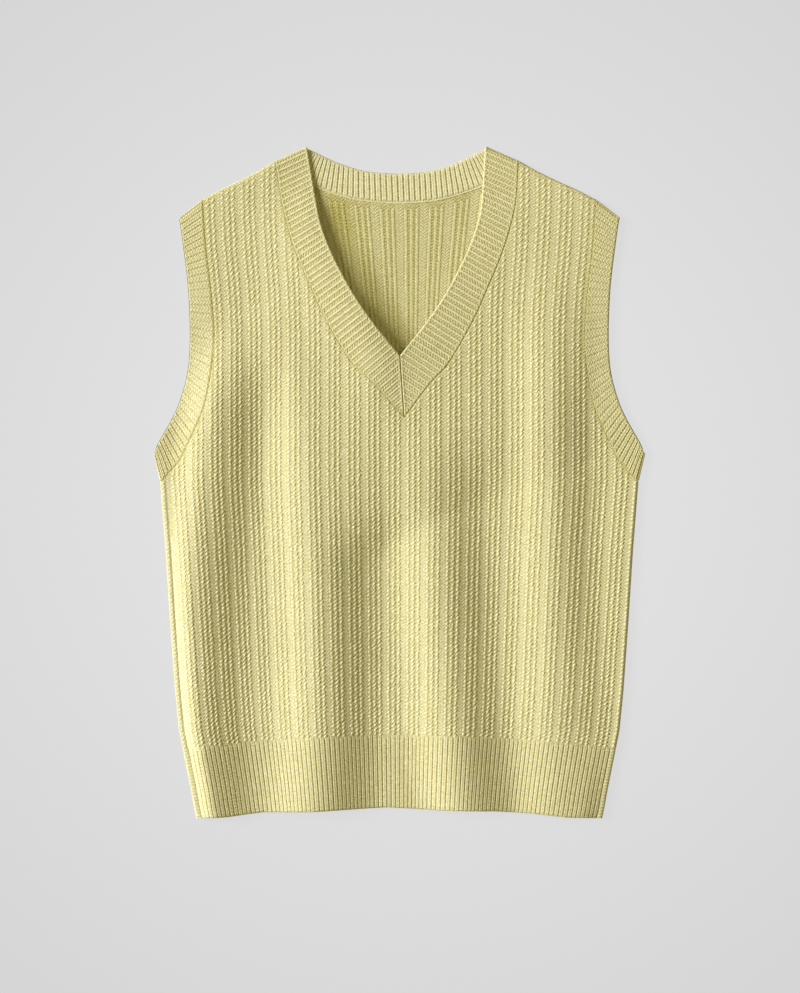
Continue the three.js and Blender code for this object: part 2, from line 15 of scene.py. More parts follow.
import bpy
import numpy as np
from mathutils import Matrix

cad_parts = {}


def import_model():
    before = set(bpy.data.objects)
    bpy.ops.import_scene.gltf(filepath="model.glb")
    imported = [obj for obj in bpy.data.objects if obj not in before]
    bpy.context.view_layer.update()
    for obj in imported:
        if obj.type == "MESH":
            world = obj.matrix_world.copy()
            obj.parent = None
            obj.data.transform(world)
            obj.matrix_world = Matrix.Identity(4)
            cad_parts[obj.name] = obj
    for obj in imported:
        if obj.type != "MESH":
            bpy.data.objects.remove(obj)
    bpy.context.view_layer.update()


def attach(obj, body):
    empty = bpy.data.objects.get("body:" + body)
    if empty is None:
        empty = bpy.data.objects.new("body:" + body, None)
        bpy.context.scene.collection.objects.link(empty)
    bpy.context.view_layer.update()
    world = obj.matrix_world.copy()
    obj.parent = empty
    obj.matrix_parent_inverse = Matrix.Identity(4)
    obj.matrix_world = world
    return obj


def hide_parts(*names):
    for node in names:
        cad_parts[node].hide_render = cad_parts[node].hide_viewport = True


log = logging.getLogger("sweater_vest")
Array = np.ndarray

MM = 0.001
LENGTH = 672.4

# The wall, the gap between the layers, and the gaps at the seams
WALL = 2.0
LAYER_GAP = 1.0
SEAM = 0.3
WELT_GAP = 0.03
BAND_GAP = 0.15

# How far a turned edge reaches in, and a fold's inner and outer radius about the plane between the layers
LIP = 5.5
INNER_ROLL = LAYER_GAP / 2
ROLL = WALL + INNER_ROLL
MID = ROLL
FRONT_UNDER = WALL + LAYER_GAP
FRONT_TOP = FRONT_UNDER + WALL

# The stitch columns: groups of three, a little wider towards the right and following the armholes in part
GROUP_PITCH = 19.8
GROUP_CENTRE = -5.9
COLUMN_PITCH = 5.3
PATTERN_WIDER = 0.017
PATTERN_SKEW = 0.00013
PATTERN_FOLLOWS = 0.8

# Rows of stitches: above the wide row they grow apart, by twice the growth from each to the next
ROW_PITCH = 4.05
WIDE_ROW = 70
ROW_GROWTH = 0.01

# Half width of the body against height
SIDE_EDGE = (
    (203, 0), (205, 8), (208.5, 28), (214.5, 58), (220.5, 88),
    (224.5, 128), (229.5, 198), (234, 268), (239.5, 338), (246.8, 366),
)
SHOULDER_EDGE = (
    (221.5, 601), (213, 608), (199, 618), (181, 628), (159, 638),
    (139, 648), (122, 658), (100, 668), (90, 672.5),
)
ARM_SEAM = (
    (237, 337.9), (229, 347), (219.5, 358.5), (210.5, 376), (201, 397), (193.5, 417),
    (187, 455), (185, 483.5), (188, 526.5), (193.5, 572.5), (196.6, 616.4),
)
ARM_EDGE = (
    (244.4, 366.2), (241.5, 375), (228.5, 398), (219.5, 418), (211.7, 448),
    (209.5, 484), (211.5, 532), (217, 578), (220.1, 598.9),
)
NECK_SEAM = (
    (0, 401), (27.8, 434.5), (49, 456.5), (73.2, 497.5), (88.3, 530.5),
    (99.9, 557.5), (109.7, 585.5), (117.1, 616.5), (121.3, 655.3),
)
NECK_EDGE = (
    (0, 463), (9.3, 474.5), (27.5, 497.5), (44.5, 522.5), (58.4, 547.5),
    (69, 569.5), (77.7, 593.5), (82.5, 617), (88.7, 670),
)
BACK_NECK_SEAM = (
    (121.3, 655.3), (104, 644), (86, 633.5), (57, 623.2), (32, 617.8), (0, 615.8),
)
BACK_NECK_EDGE = (
    (88.7, 670), (80, 666), (70, 661), (57, 655.3), (32, 647.8), (0, 645.4),
)
# How far the neck's middle lies from the centre line against height
NECK_CENTRE = ((5, 401), (0.7, 463), (0, 560), (-0.4, 618), (-2.2, 657), (-3.2, 672))
HEM = (
    (-205, 0), (-173, 1.6), (-138, 6), (-90, 7), (-13, 11),
    (40, 8.4), (97, 7.2), (135, 4.8), (170, 1), (205, 0),
)
# The line between body and welt, and the height at which the body's width there is read
WELT_TOP_MIDDLE = 83.5
WELT_TOP_SIDE = 70.0
WELT_TOP_HALF = 217.0
FRONT_JOIN_UP = 78.0
BACK_JOIN_UP = 74.0

# The body's widths where its grids meet, and the fall of the armhole's foot
UNDERARM_UP = 338.0
CHEST_UP = 483.5
CHEST_HALF = 185.0
BODY_HALF = 234.0
ARM_FOOT_FALL = 0.26
MITRE_RUN = 50.0

# How far the V's edge stands off the back, more on the left, and how the front's rise ends at its edges
NECK_LIFT = 2.6
NECK_LEFT_MORE = 5.0
NECK_SPREAD = 52.0
NECK_FADE = 130.0
SIDE_FADE = 17.0
SHOULDER_FADE = 70.0

# Margin of a place that a seam does not limit, and a half width past every edge
CLEAR = 50.0
OPEN = 999.0

ARM_RIBS = 38
NECK_RIBS = 50
# A band's fold: its length round, and its angles above the level from the front to the back
FOLD_RUN = 7.8
FOLD_TURNS = tuple(15.0 * step for step in range(5, -6, -1))
# Angle past which an edge of a wall stays sharp
SHARP = 50.0

# The back's inside: its groups of ridges by the neck, at a pitch that widens upwards
INNER_CENTRE = 12.5
INNER_PITCH = 22.3


class Band(Enum):
    """Which armhole a band goes round, with its side of the centre line."""

    LEFT = -1
    RIGHT = 1


class Slot(Enum):
    """The record's finishes."""

    BODY = "body_knit"
    BACK = "back_knit"
    RIB = "rib_knit"


def smoothstep(value: Array) -> Array:
    """Share that rises from 0 to 1 with level ends: three squares less two cubes of the clipped value."""
    t = np.clip(value, 0.0, 1.0)
    return t * t * (3 - 2 * t)


def across_at(up: Array, line: Array | tuple) -> Array:
    """Place across on a line of (across, up) points at given heights."""
    rows = np.asarray(line)
    return np.interp(up, rows[:, 1], rows[:, 0])


def up_at(across: Array, line: Array | tuple) -> Array:
    """Height on a line of (across, up) points at given places across."""
    rows = np.asarray(line)
    return np.interp(across, rows[:, 0], rows[:, 1])


def stacked(*parts: Array) -> Array:
    """Coordinates as one array of points, each part widened to the whole grid."""
    return np.stack(np.broadcast_arrays(*parts), axis=-1)


class Spline:
    """A smooth line through points, read by its share of the whole length.

    Between two points it is a cubic whose slope at each point is half the step between its neighbours.
    """

    def __init__(self, points: Array, samples: int = 900) -> None:
        """Works out the line.

        Args:
            points: Places it runs through, one row each.
            samples: Steps in which its length is measured.
        """
        count = len(points)
        at = np.linspace(0, count - 1, samples + 1)
        i = np.minimum(at.astype(int), count - 2)
        t = (at - i)[:, None]
        before, here, there = points[np.maximum(i - 1, 0)], points[i], points[i + 1]
        after = points[np.minimum(i + 2, count - 1)]
        leave, reach = (there - before) / 2, (after - here) / 2
        cubic = 2 * here - 2 * there + leave + reach
        square = -3 * here + 3 * there - 2 * leave - reach
        self.places = cubic * t**3 + square * t**2 + leave * t + here
        steps = np.linalg.norm(np.diff(self.places, axis=0), axis=1)
        run = np.concatenate([[0.0], np.cumsum(steps)])
        self.length = float(run[-1])
        self.share = run / run[-1]

    def at(self, share: Array) -> Array:
        """Places at shares of the length, one row each."""
        return np.stack([np.interp(share, self.share, self.places[:, k]) for k in (0, 1)], axis=-1)

    def end(self, share: float) -> Array:
        """The one place at a share of the length."""
        return self.at(np.array([share]))[0]


@dataclass(frozen=True)
class Fold:
    """One soft fold of the front: its crest line, its spread each way, its height and where it ends.

    The crest may bow aside between its ends. The right flank may run out wider towards the chest, and
    flare and weaken towards the hem.
    """

    top: tuple[float, float]
    low: tuple[float, float]
    left: float
    right: float
    height: float
    full: float
    gone: float
    bow: float = 0.0
    run_out: float = 0.0
    flare: float = 0.0
    weaker: float = 0.0

    def rise(self, x: Array, up: Array) -> Array:
        """Height: half a cosine wave down from the crest on each side, times a fade towards its top."""
        along = (up - self.low[1]) / (self.top[1] - self.low[1])
        crest = self.low[0] + (self.top[0] - self.low[0]) * along + self.bow * 4 * along * (1 - along)
        hemward = smoothstep((240 - up) / 200)
        right = self.right + self.run_out * smoothstep((up - 250) / 150) + self.flare * hemward
        spread = np.where(x < crest, self.left, right)
        away = np.minimum(np.abs(x - crest) / spread, 1.0)
        fade = smoothstep((self.gone - up) / (self.gone - self.full))
        return self.height * (1 - self.weaker * hemward) * (0.5 + 0.5 * np.cos(np.pi * away)) * fade


FOLDS = (
    Fold((-190, 368), (-200, 20), 40, 62, 10.6, 400, 520, bow=-12),
    Fold((-92, 400), (-80, 88), 56, 67, 12.6, 330, 600, bow=4, run_out=280),
    Fold((34, 388), (50, 113), 54, 60, 10.6, 230, 430, bow=-3.5),
    Fold((149, 588), (156, 113), 48, 50, 7.1, 380, 610, flare=16, weaker=0.25),
)


class Plan:
    """The lines and heights of the laid vest, worked out for whole arrays of places."""

    def __init__(self) -> None:
        """Measures the seams as tables of half width against height."""
        self.arm = Spline(np.array(ARM_SEAM, float)).places
        self.neck = Spline(np.array(NECK_SEAM, float)).places
        self.back_neck = Spline(np.array(BACK_NECK_SEAM, float)).places[::-1]

    @staticmethod
    def side_half(up: Array) -> Array:
        """Half width of the body at its side edges, straight between the table's rows."""
        return across_at(up, SIDE_EDGE)

    @staticmethod
    def shoulder_up(half: Array) -> Array:
        """Height of the shoulder's fold at a distance from the neck's middle."""
        return up_at(half, SHOULDER_EDGE[::-1])

    @staticmethod
    def neck_shift(up: Array) -> Array:
        """How far the neck's middle lies from the centre line."""
        return across_at(up, NECK_CENTRE)

    @staticmethod
    def hem_up(x: Array) -> Array:
        """Height of the hem's edge."""
        return up_at(x, HEM)

    @staticmethod
    def welt_top(x: Array) -> Array:
        """Height at which the welt begins: a parabola, highest in the middle."""
        share = np.minimum(np.abs(x) / WELT_TOP_HALF, 1.0) ** 2
        return WELT_TOP_MIDDLE + (WELT_TOP_SIDE - WELT_TOP_MIDDLE) * share

    def spread(self, up: Array) -> Array:
        """Width of the knit against that at the chest: it follows the side edges, then the armholes."""
        low = (self.side_half(up) - LIP) / BODY_HALF
        arm = across_at(up, self.arm) / CHEST_HALF
        return np.where(up < UNDERARM_UP, low, np.where(up < CHEST_UP, 1.0, arm))

    def pattern_spread(self, up: Array) -> Array:
        """Width of the stitch columns against the chest's: above it they widen less than the armholes."""
        spread = self.spread(up)
        return np.where(up < CHEST_UP, spread, 1 + PATTERN_FOLLOWS * (spread - 1))

    def pattern_x(self, column: Array, up: Array) -> Array:
        """Place across of a stitch column: the pattern is a little wider towards the right side."""
        out = column - GROUP_CENTRE
        return self.pattern_spread(up) * (column + PATTERN_WIDER * out + PATTERN_SKEW * out**2)

    def pattern_column(self, x: Array, up: Array) -> Array:
        """The stitch column at a place: the root of the square that pattern_x adds up."""
        wide = 1 + PATTERN_WIDER
        past = x / self.pattern_spread(up) - GROUP_CENTRE
        return GROUP_CENTRE + (np.sqrt(wide**2 + 4 * PATTERN_SKEW * past) - wide) / (2 * PATTERN_SKEW)

    def arm_margin(self, x: Array, up: Array) -> Array:
        """How far inside the armhole's seam a place is; past the seam's foot it is the height left."""
        out = np.abs(x)
        foot_half, foot_up = ARM_SEAM[0]
        past_foot = foot_up - ARM_FOOT_FALL * np.maximum(out - foot_half, 0) - up
        below = np.where(out > foot_half, past_foot, CLEAR)
        return np.where(up < foot_up, below, across_at(up, self.arm) - out)

    def neck_margin(self, x: Array, up: Array) -> Array:
        """How far outside the V's seam a place is, across; below its point the height left is added."""
        tip = NECK_SEAM[0][1]
        half = np.where(up < tip, up - tip, across_at(up, self.neck))
        return np.abs(x - self.neck_shift(up)) - half

    def back_neck_margin(self, x: Array, up: Array) -> Array:
        """How far below the seam of the back's neck a place is."""
        half = np.abs(x - self.neck_shift(up))
        return np.where(half > self.back_neck[-1, 0], CLEAR, up_at(half, self.back_neck) - up)

    def shoulder_margin(self, x: Array, up: Array) -> Array:
        """How far inside the shoulder's fold a place is, square to it."""
        half = np.abs(x - self.neck_shift(up))
        slope = (self.shoulder_up(half - 2) - self.shoulder_up(half + 2)) / 4
        return (self.shoulder_up(half) - up) / np.sqrt(1 + slope**2)

    def neck_lift(self, x: Array, up: Array) -> Array:
        """How far the V's edge stands off the back: a bell over the distance from the edge."""
        tip = NECK_EDGE[0][1]
        out = np.abs(x - self.neck_shift(up))
        beside = np.maximum(out - across_at(up, NECK_EDGE), 0)
        away = np.where(up > tip, beside, np.hypot(out, tip - up))
        below = (self.shoulder_up(np.abs(x)) - up) / NECK_FADE
        most = NECK_LIFT + NECK_LEFT_MORE * smoothstep((20 - x) / 60)
        return most * np.exp(-((away / NECK_SPREAD) ** 2)) * smoothstep(below)

    def inward(self, x: Array, up: Array) -> Array:
        """Distance in from the V's left edge."""
        return x - self.neck_shift(up) + across_at(up, NECK_EDGE)

    def back_bow(self, x: Array, up: Array) -> Array:
        """How far the back bows up below the V's left edge, falling away to the middle of the neck."""
        inward = np.clip(self.inward(x, up) / 50, 0, 1)
        return 0.95 * self.neck_lift(x, up) * (1 - inward) ** 2 * smoothstep((600 - up) / 70)

    def painted_neck_shade(self, x: Array, up: Array) -> Array:
        """Painted shadow on the back's inside by the V's left edge, with painted bounce light at its foot:
        lighter there, then deeper.
        """
        inward = self.inward(x, up)
        # Painted shadow, deepest some way in from the edge
        deep = (0.5 + 0.35 * smoothstep((up - 560) / 40)) * smoothstep((inward - 3) / 10)
        deep = deep * (1 - smoothstep((inward - 22) / 22))
        # Painted bounce light right by the edge
        glow = 0.5 * (1 - smoothstep((inward - 2) / 9))
        return (deep - glow) * smoothstep((640 - up) / 36)

    def lift(self, x: Array, up: Array) -> Array:
        """How far the front lies above its flat place: folds and neck, faded to its outer edges."""
        folds = sum(fold.rise(x, up) for fold in FOLDS)
        side = (self.side_half(up) - LIP - SEAM - np.abs(x)) / SIDE_FADE
        shoulder = (self.shoulder_up(np.abs(x)) - ROLL - up) / SHOULDER_FADE
        from_side = 1 - (1 - np.clip(side, 0, 1)) ** 2
        return (folds + self.neck_lift(x, up)) * from_side * smoothstep(shoulder)


PLAN = Plan()


def first_crossing(margin: Callable[[Array, Array], Array], x_at: Callable[[Array], Array]) -> Array:
    """Height at which each knit column leaves a piece.

    The margin is tried every half millimetre up each column, and read straight between the two tries
    where it first falls below nothing.

    Args:
        margin: Distance inside the piece, from x and height.
        x_at: Places across of all columns at a column of heights.

    Returns:
        One height for each column.
    """
    step = 0.5
    ups = np.arange(60.0, 700.0, step)[:, None]
    x = x_at(ups)
    values = margin(x, np.broadcast_to(ups, x.shape))
    first = np.maximum(np.argmax(values < 0, axis=0), 1)
    each = np.arange(values.shape[1])
    above, below = values[first, each], values[first - 1, each]
    return ups[first - 1, 0] + step * below / (below - above)


def split_rows(columns: Array, low: Array, high: Array, lower: Array, upper: Array) -> Array:
    """Heights of a middle grid's rows, whose outer columns reach the chest's height after the lower ones.

    Args:
        columns: The knit columns.
        low: Where each begins.
        high: Where each ends.
        lower: Shares of the way up to the split.
        upper: Shares of the way on from it.
    """
    share = np.interp(columns, columns[[0, -1]], ((CHEST_UP - low) / (high - low))[[0, -1]])
    split = low + share * (high - low)
    return np.concatenate([low + (split - low) * lower, split + (high - split) * upper])


# Meshes


@dataclass
class Patch:
    """A grid of a layer: its outer and inner points, its place in the knit and each side's relief shade,
    the share of the yarn's colour over the painted groove shade.
    """

    outer: Array
    inner: Array
    knit: Array
    relief: Array
    inner_relief_shade: Array | float = 0.0


@dataclass
class MeshData:
    """Points in millimetres of the plan, faces, and what the finishes read at each point."""

    points: Array
    faces: Array
    knit: Array
    relief: Array

    @staticmethod
    def joined(parts: list[MeshData]) -> MeshData:
        """Several meshes as one, their faces' numbers moved on past the points before them."""
        starts = np.cumsum([0] + [len(part.points) for part in parts[:-1]])
        return MeshData(
            np.concatenate([part.points for part in parts]),
            np.concatenate([part.faces + start for part, start in zip(parts, starts)]),
            np.concatenate([part.knit for part in parts]),
            np.concatenate([part.relief for part in parts]),
        )


def grid_faces(rows: int, columns: int) -> Array:
    """Four-sided faces of a grid of points numbered row by row."""
    corner = (np.arange(rows - 1)[:, None] * columns + np.arange(columns - 1)).ravel()
    return np.stack([corner, corner + 1, corner + columns + 1, corner + columns], axis=1)


def signed_volume(points: Array, faces: Array) -> float:
    """Six times a closed mesh's volume: each face's corners as triple products about the origin."""
    a, b, c = (points[faces[:, k]] for k in (0, 1, 2))
    total = np.einsum("ij,ij->", a, np.cross(b, c))
    if faces.shape[1] == 4:
        total += np.einsum("ij,ij->", a, np.cross(c, points[faces[:, 3]]))
    return float(total)


def layer(patches: list[Patch]) -> MeshData:
    """A closed layer from its patches.

    Outer points that fall together are made one, the inner side repeats the outer side's faces turned
    over, and each edge that has only one face gets a wall between the two sides.

    Args:
        patches: Grids that share the points along their common lines.

    Returns:
        The layer, its faces outwards.
    """
    outer = np.concatenate([patch.outer.reshape(-1, 3) for patch in patches])
    inner = np.concatenate([patch.inner.reshape(-1, 3) for patch in patches])
    knit = np.concatenate([patch.knit.reshape(-1, 2) for patch in patches])
    relief = np.concatenate([patch.relief.ravel() for patch in patches])
    under = np.concatenate([(patch.inner_relief_shade + 0 * patch.relief).ravel() for patch in patches])
    _, first, number = np.unique(np.round(outer, 3), axis=0, return_index=True, return_inverse=True)
    number = number.ravel()
    faces, start = [], 0
    for patch in patches:
        rows, columns = patch.outer.shape[:2]
        faces.append(grid_faces(rows, columns) + start)
        start += rows * columns
    quads = number[np.concatenate(faces)]
    count = len(first)
    edges = np.stack([quads, np.roll(quads, -1, axis=1)], axis=-1).reshape(-1, 2)
    code = edges[:, 0].astype(np.int64) * count + edges[:, 1]
    back = edges[:, 1].astype(np.int64) * count + edges[:, 0]
    rim = edges[~np.isin(code, back)]
    walls = np.stack([rim[:, 0], rim[:, 0] + count, rim[:, 1] + count, rim[:, 1]], axis=1)
    points = np.concatenate([outer[first], inner[first]])
    whole = np.concatenate([quads, quads[:, ::-1] + count, walls])
    if signed_volume(points, whole) < 0:
        whole = whole[:, ::-1]
    both = np.concatenate([relief[first], under[first]])
    return MeshData(points, whole, np.tile(knit[first], (2, 1)), both)


@dataclass(frozen=True)
class GrainShape:
    """A grain of yarn: rings from its foot to its top, drawn in and raised towards its upper end."""

    sides: int = 7
    rings: tuple[tuple[float, float], ...] = ((1.0, -0.35), (0.76, 0.55))
    taper: float = 0.12
    tilt: float = 0.3

    def mesh(self) -> tuple[Array, Array]:
        """Points of a grain of unit size and its three-sided faces.

        Returns:
            Points (along, across, height) and faces.
        """
        turn = np.arange(self.sides) * (2 * np.pi / self.sides)
        circle = np.stack([np.cos(turn), np.sin(turn)], axis=1)
        rings = [np.column_stack([circle * size, np.full(self.sides, high)]) for size, high in self.rings]
        points = np.concatenate([*rings, [[0.0, 0.0, 1.0]]])
        points[:, 1] *= 1 - self.taper * points[:, 0]
        each = np.arange(self.sides)
        after = (each + 1) % self.sides
        faces = [np.stack([np.zeros(self.sides - 2, int), each[2:], each[1:-1]], axis=1)]
        for ring in range(len(self.rings) - 1):
            low, high = ring * self.sides, (ring + 1) * self.sides
            faces.append(np.stack([low + each, low + after, high + after], axis=1))
            faces.append(np.stack([low + each, high + after, high + each], axis=1))
        top = (len(self.rings) - 1) * self.sides
        faces.append(np.stack([top + each, top + after, np.full(self.sides, len(points) - 1)], axis=1))
        return points, np.concatenate(faces)


@dataclass
class Grains:
    """Where stitches lie and how each is sized and turned."""

    x: Array
    up: Array
    turn: Array
    long: Array
    wide: Array
    high: Array
    shape: GrainShape = field(default_factory=GrainShape)

    def mesh(self, surface: Callable[[Array, Array], Array], down: bool = False) -> MeshData:
        """All grains as one mesh, each point set on the cloth below it.

        A grain's point is its unit point times its sizes, turned in plan about the grain's place; its
        height is the cloth's there plus the grain's own.

        Args:
            surface: The cloth's height from x and height up the vest.
            down: True where the grains hang from the cloth's underside.

        Returns:
            The joined grains, their relief shade from 0 at the foot to 1 at the top: painted shade at each
            grain's foot.
        """
        unit, faces = self.shape.mesh()
        along, across, rise = unit[:, 0], unit[:, 1], unit[:, 2]
        cos, sin = np.cos(self.turn)[:, None], np.sin(self.turn)[:, None]
        run, side = self.long[:, None] * along, self.wide[:, None] * across
        x = self.x[:, None] + cos * run - sin * side
        up = self.up[:, None] + sin * run + cos * side
        own = self.high[:, None] * (rise + self.shape.tilt * along)
        z = surface(x, up) + (-own if down else own)
        count = len(self.x)
        corners = faces[None] + (np.arange(count) * len(unit))[:, None, None]
        triangles = corners.reshape(-1, 3)
        if down:
            triangles = triangles[:, ::-1]
        knit = np.stack([run + self.x[:, None], side + self.up[:, None]], axis=-1)
        # Painted shade at each grain's foot, full yarn colour on its top
        relief = np.clip(0.45 + 0.55 * np.broadcast_to(rise, x.shape), 0, 1)
        points = np.stack([x, up, z], axis=-1).reshape(-1, 3)
        return MeshData(points, triangles, knit.reshape(-1, 2), relief.ravel())


def linked(name: str, data: bpy.types.ID) -> bpy.types.Object:
    """A new object of a mesh, camera or light, in the scene."""
    made = bpy.data.objects.new(name, data)
    bpy.context.scene.collection.objects.link(made)
    return made


def place(name: str, data: MeshData, slot: Slot, finish: bpy.types.Material,
          crisp: bool = True) -> bpy.types.Object:
    """Makes the object of a mesh in the frame's place, with its map and what its finish reads.

    Args:
        name: The piece's name.
        data: Its mesh in millimetres of the plan.
        slot: The record's finish; not used.
        finish: Its material.
        crisp: True where a wall's cut edges stay sharp.

    Returns:
        The new object, riding on the vest's one body.
    """
    mesh = bpy.data.meshes.new(name)
    points = (data.points - np.array([0.0, LENGTH / 2, 0.0])) * MM
    mesh.from_pydata(points, [], data.faces)
    corners = np.empty(len(mesh.loops), np.int32)
    mesh.loops.foreach_get("vertex_index", corners)
    layer_map = mesh.uv_layers.new(name="knit")
    layer_map.uv.foreach_set("vector", (data.knit[corners] * MM).astype(np.float32).ravel())
    # How far the colour goes from the painted groove shade to the yarn's own
    relief = mesh.attributes.new("relief", "FLOAT", "POINT")
    relief.data.foreach_set("value", data.relief.astype(np.float32))
    mesh.shade_smooth()
    if crisp:
        mesh.set_sharp_from_angle(angle=math.radians(SHARP))
    mesh.materials.append(finish)
    piece = linked(name, mesh)
    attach(piece, "root")
    log.info("%s: %d points, %d faces", name, len(data.points), len(data.faces))
    return piece


# The knit's own relief, and the shade painted into its grooves


def group_offset(across: Array) -> Array:
    """Distance of a knit column from the middle of its group of three."""
    return (across - GROUP_CENTRE + GROUP_PITCH / 2) % GROUP_PITCH - GROUP_PITCH / 2


def column_ridge(across: Array) -> Array:
    """Share of the full height across the knit: a squared cosine over each of a group's three columns."""
    offset = group_offset(across)
    away = np.min([np.abs(offset - COLUMN_PITCH * n) for n in (-1, 0, 1)], axis=0)
    return np.cos(np.pi / 2 * np.clip(away / (COLUMN_PITCH / 2), 0, 1)) ** 2


def row_up(row: Array) -> Array:
    """Height of a row of stitches above the welt."""
    return ROW_PITCH * row + ROW_GROWTH * np.maximum(row - WIDE_ROW, 0) ** 2


def body_relief_shade(across: Array) -> Array:
    """What the finish reads: painted shade between the columns, lighter on the plain strip between groups.
    """
    strip = smoothstep((np.abs(group_offset(across)) - 7.0) / 1.4)
    inside = (0.28 + 0.16 * column_ridge(across)) * (1 - strip) + 0.52 * strip
    return np.where(np.abs(across) > BODY_HALF, 0.7, inside)


def single_rib(phase: Array) -> Array:
    """A plump rib and a narrow groove to each whole phase, with a faint line down the rib's middle."""
    away = np.abs(phase % 1.0 - 0.5) * 2
    return smoothstep((0.94 - away) / 0.34) * (1 - 0.3 * np.exp(-((away / 0.2) ** 2)))


def broad_rib(phase: Array) -> Array:
    """An armband's wide soft rib and narrow groove to each whole phase, with a faint line down its middle.

    The ribs are firm by the underarm and at the shoulder, where the phase begins and ends, and nearly
    flat halfway up.
    """
    away = np.abs(phase % 1.0 - 0.5) * 2
    from_end = np.minimum(phase, ARM_RIBS - phase)
    low = 1 - smoothstep((phase - 4) / 9)
    high = smoothstep((phase - 22) / 12)
    firm = np.where(from_end < -0.01, 0.8, 0.45 + 0.55 * low + 0.3 * high)
    line = 0.3 * np.exp(-((away / 0.2) ** 2))
    return 1 - firm * (1 - smoothstep((0.95 - away) / 0.3) * (1 - line))


def neck_rib(phase: Array) -> Array:
    """The neckband's rib: on the front a fine bright ridge and a lesser one, at the back a split rib.

    Towards the point of the V, where the phase begins, the lesser ridge grows up to the other.
    """
    away = np.abs(phase % 1.0 - 0.5) * 2
    lesser = 0.4 + 0.5 * (1 - smoothstep((phase - 4) / 14))
    front = np.exp(-((away / 0.42) ** 2)) + lesser * np.exp(-(((1 - away) / 0.22) ** 2))
    back = smoothstep((0.92 - away) / 0.36) * (1 - 0.3 * np.exp(-((away / 0.2) ** 2)))
    return np.where(phase < NECK_RIBS + 0.5, front, back)


def seam_dip(margin: Array, depth: float, width: float = 2.4) -> Array:
    """How far cloth sinks towards a seam: a square of what is left of the width."""
    return depth * (1 - np.clip(margin / width, 0, 1)) ** 2


def rounding(distance: Array, reach: float) -> Array:
    """How far a wall's side draws in near its cut edge: a quarter circle over the reach."""
    edge = 1 - np.clip(distance / reach, 0, 1)
    return (WALL / 2) * (1 - np.sqrt(1 - edge**2))


class Column(Enum):
    """The three raised columns of a group: slant in degrees, length, width and height of their grains."""

    LEFT = (-1, 40.0, 2.2, 1.6, 0.6)
    MIDDLE = (0, 42.0, 2.5, 1.2, 0.8)
    RIGHT = (1, 44.0, 2.4, 1.3, 0.75)


def column_grains(column: Column, keep: Callable[[Array, Array], Array], seed: int, shape: GrainShape,
                  size: float = 1.0) -> Grains:
    """Grains up all raised columns of one kind, a row apart and each a little uneven.

    Args:
        column: Which of a group's columns.
        keep: Distance inside the piece from x and height; a grain stays where it is positive.
        seed: Number that fixes the unevenness.
        shape: The grain.
        size: Share of the full height.

    Returns:
        The grains that stay.
    """
    place_in_group, slant, long, wide, high = column.value
    rng = np.random.default_rng(seed)
    groups = np.arange(-12, 12)
    across = GROUP_CENTRE + GROUP_PITCH * groups + COLUMN_PITCH * place_in_group
    rows = np.arange(0, 136)
    c, n = (part.ravel() for part in np.meshgrid(across, rows))
    stagger = 1.6 - 0.9 * place_in_group
    up = PLAN.welt_top(c * 0.94) + stagger + row_up(n) + rng.normal(0, 0.18, c.shape)
    x = PLAN.pattern_x(c, up) + rng.normal(0, 0.2, c.shape)
    lean = np.arctan((PLAN.pattern_x(c, up + 3) - PLAN.pattern_x(c, up - 3)) / 6)
    turn = np.radians(slant + rng.normal(0, 5, c.shape)) - lean
    apart = 1 + 2 * ROW_GROWTH / ROW_PITCH * np.maximum(n - WIDE_ROW, 0)
    long, high = long * apart, high * (1.5 - 0.5 * apart**2)
    uneven = 1 + rng.normal(0, 0.07, (3, len(c)))
    room = keep(x, up)
    stay = room > 0.8
    cut = np.clip((room + 0.8) / 4.2, 0.4, 1)
    fade = 0.15 + 0.85 * smoothstep(PLAN.shoulder_margin(x, up) / 7)
    parts = (x, up, turn, long * uneven[0] * cut, wide * uneven[1] * cut, size * high * uneven[2] * fade)
    return Grains(*(part[stay] for part in parts), shape=shape)


# The front


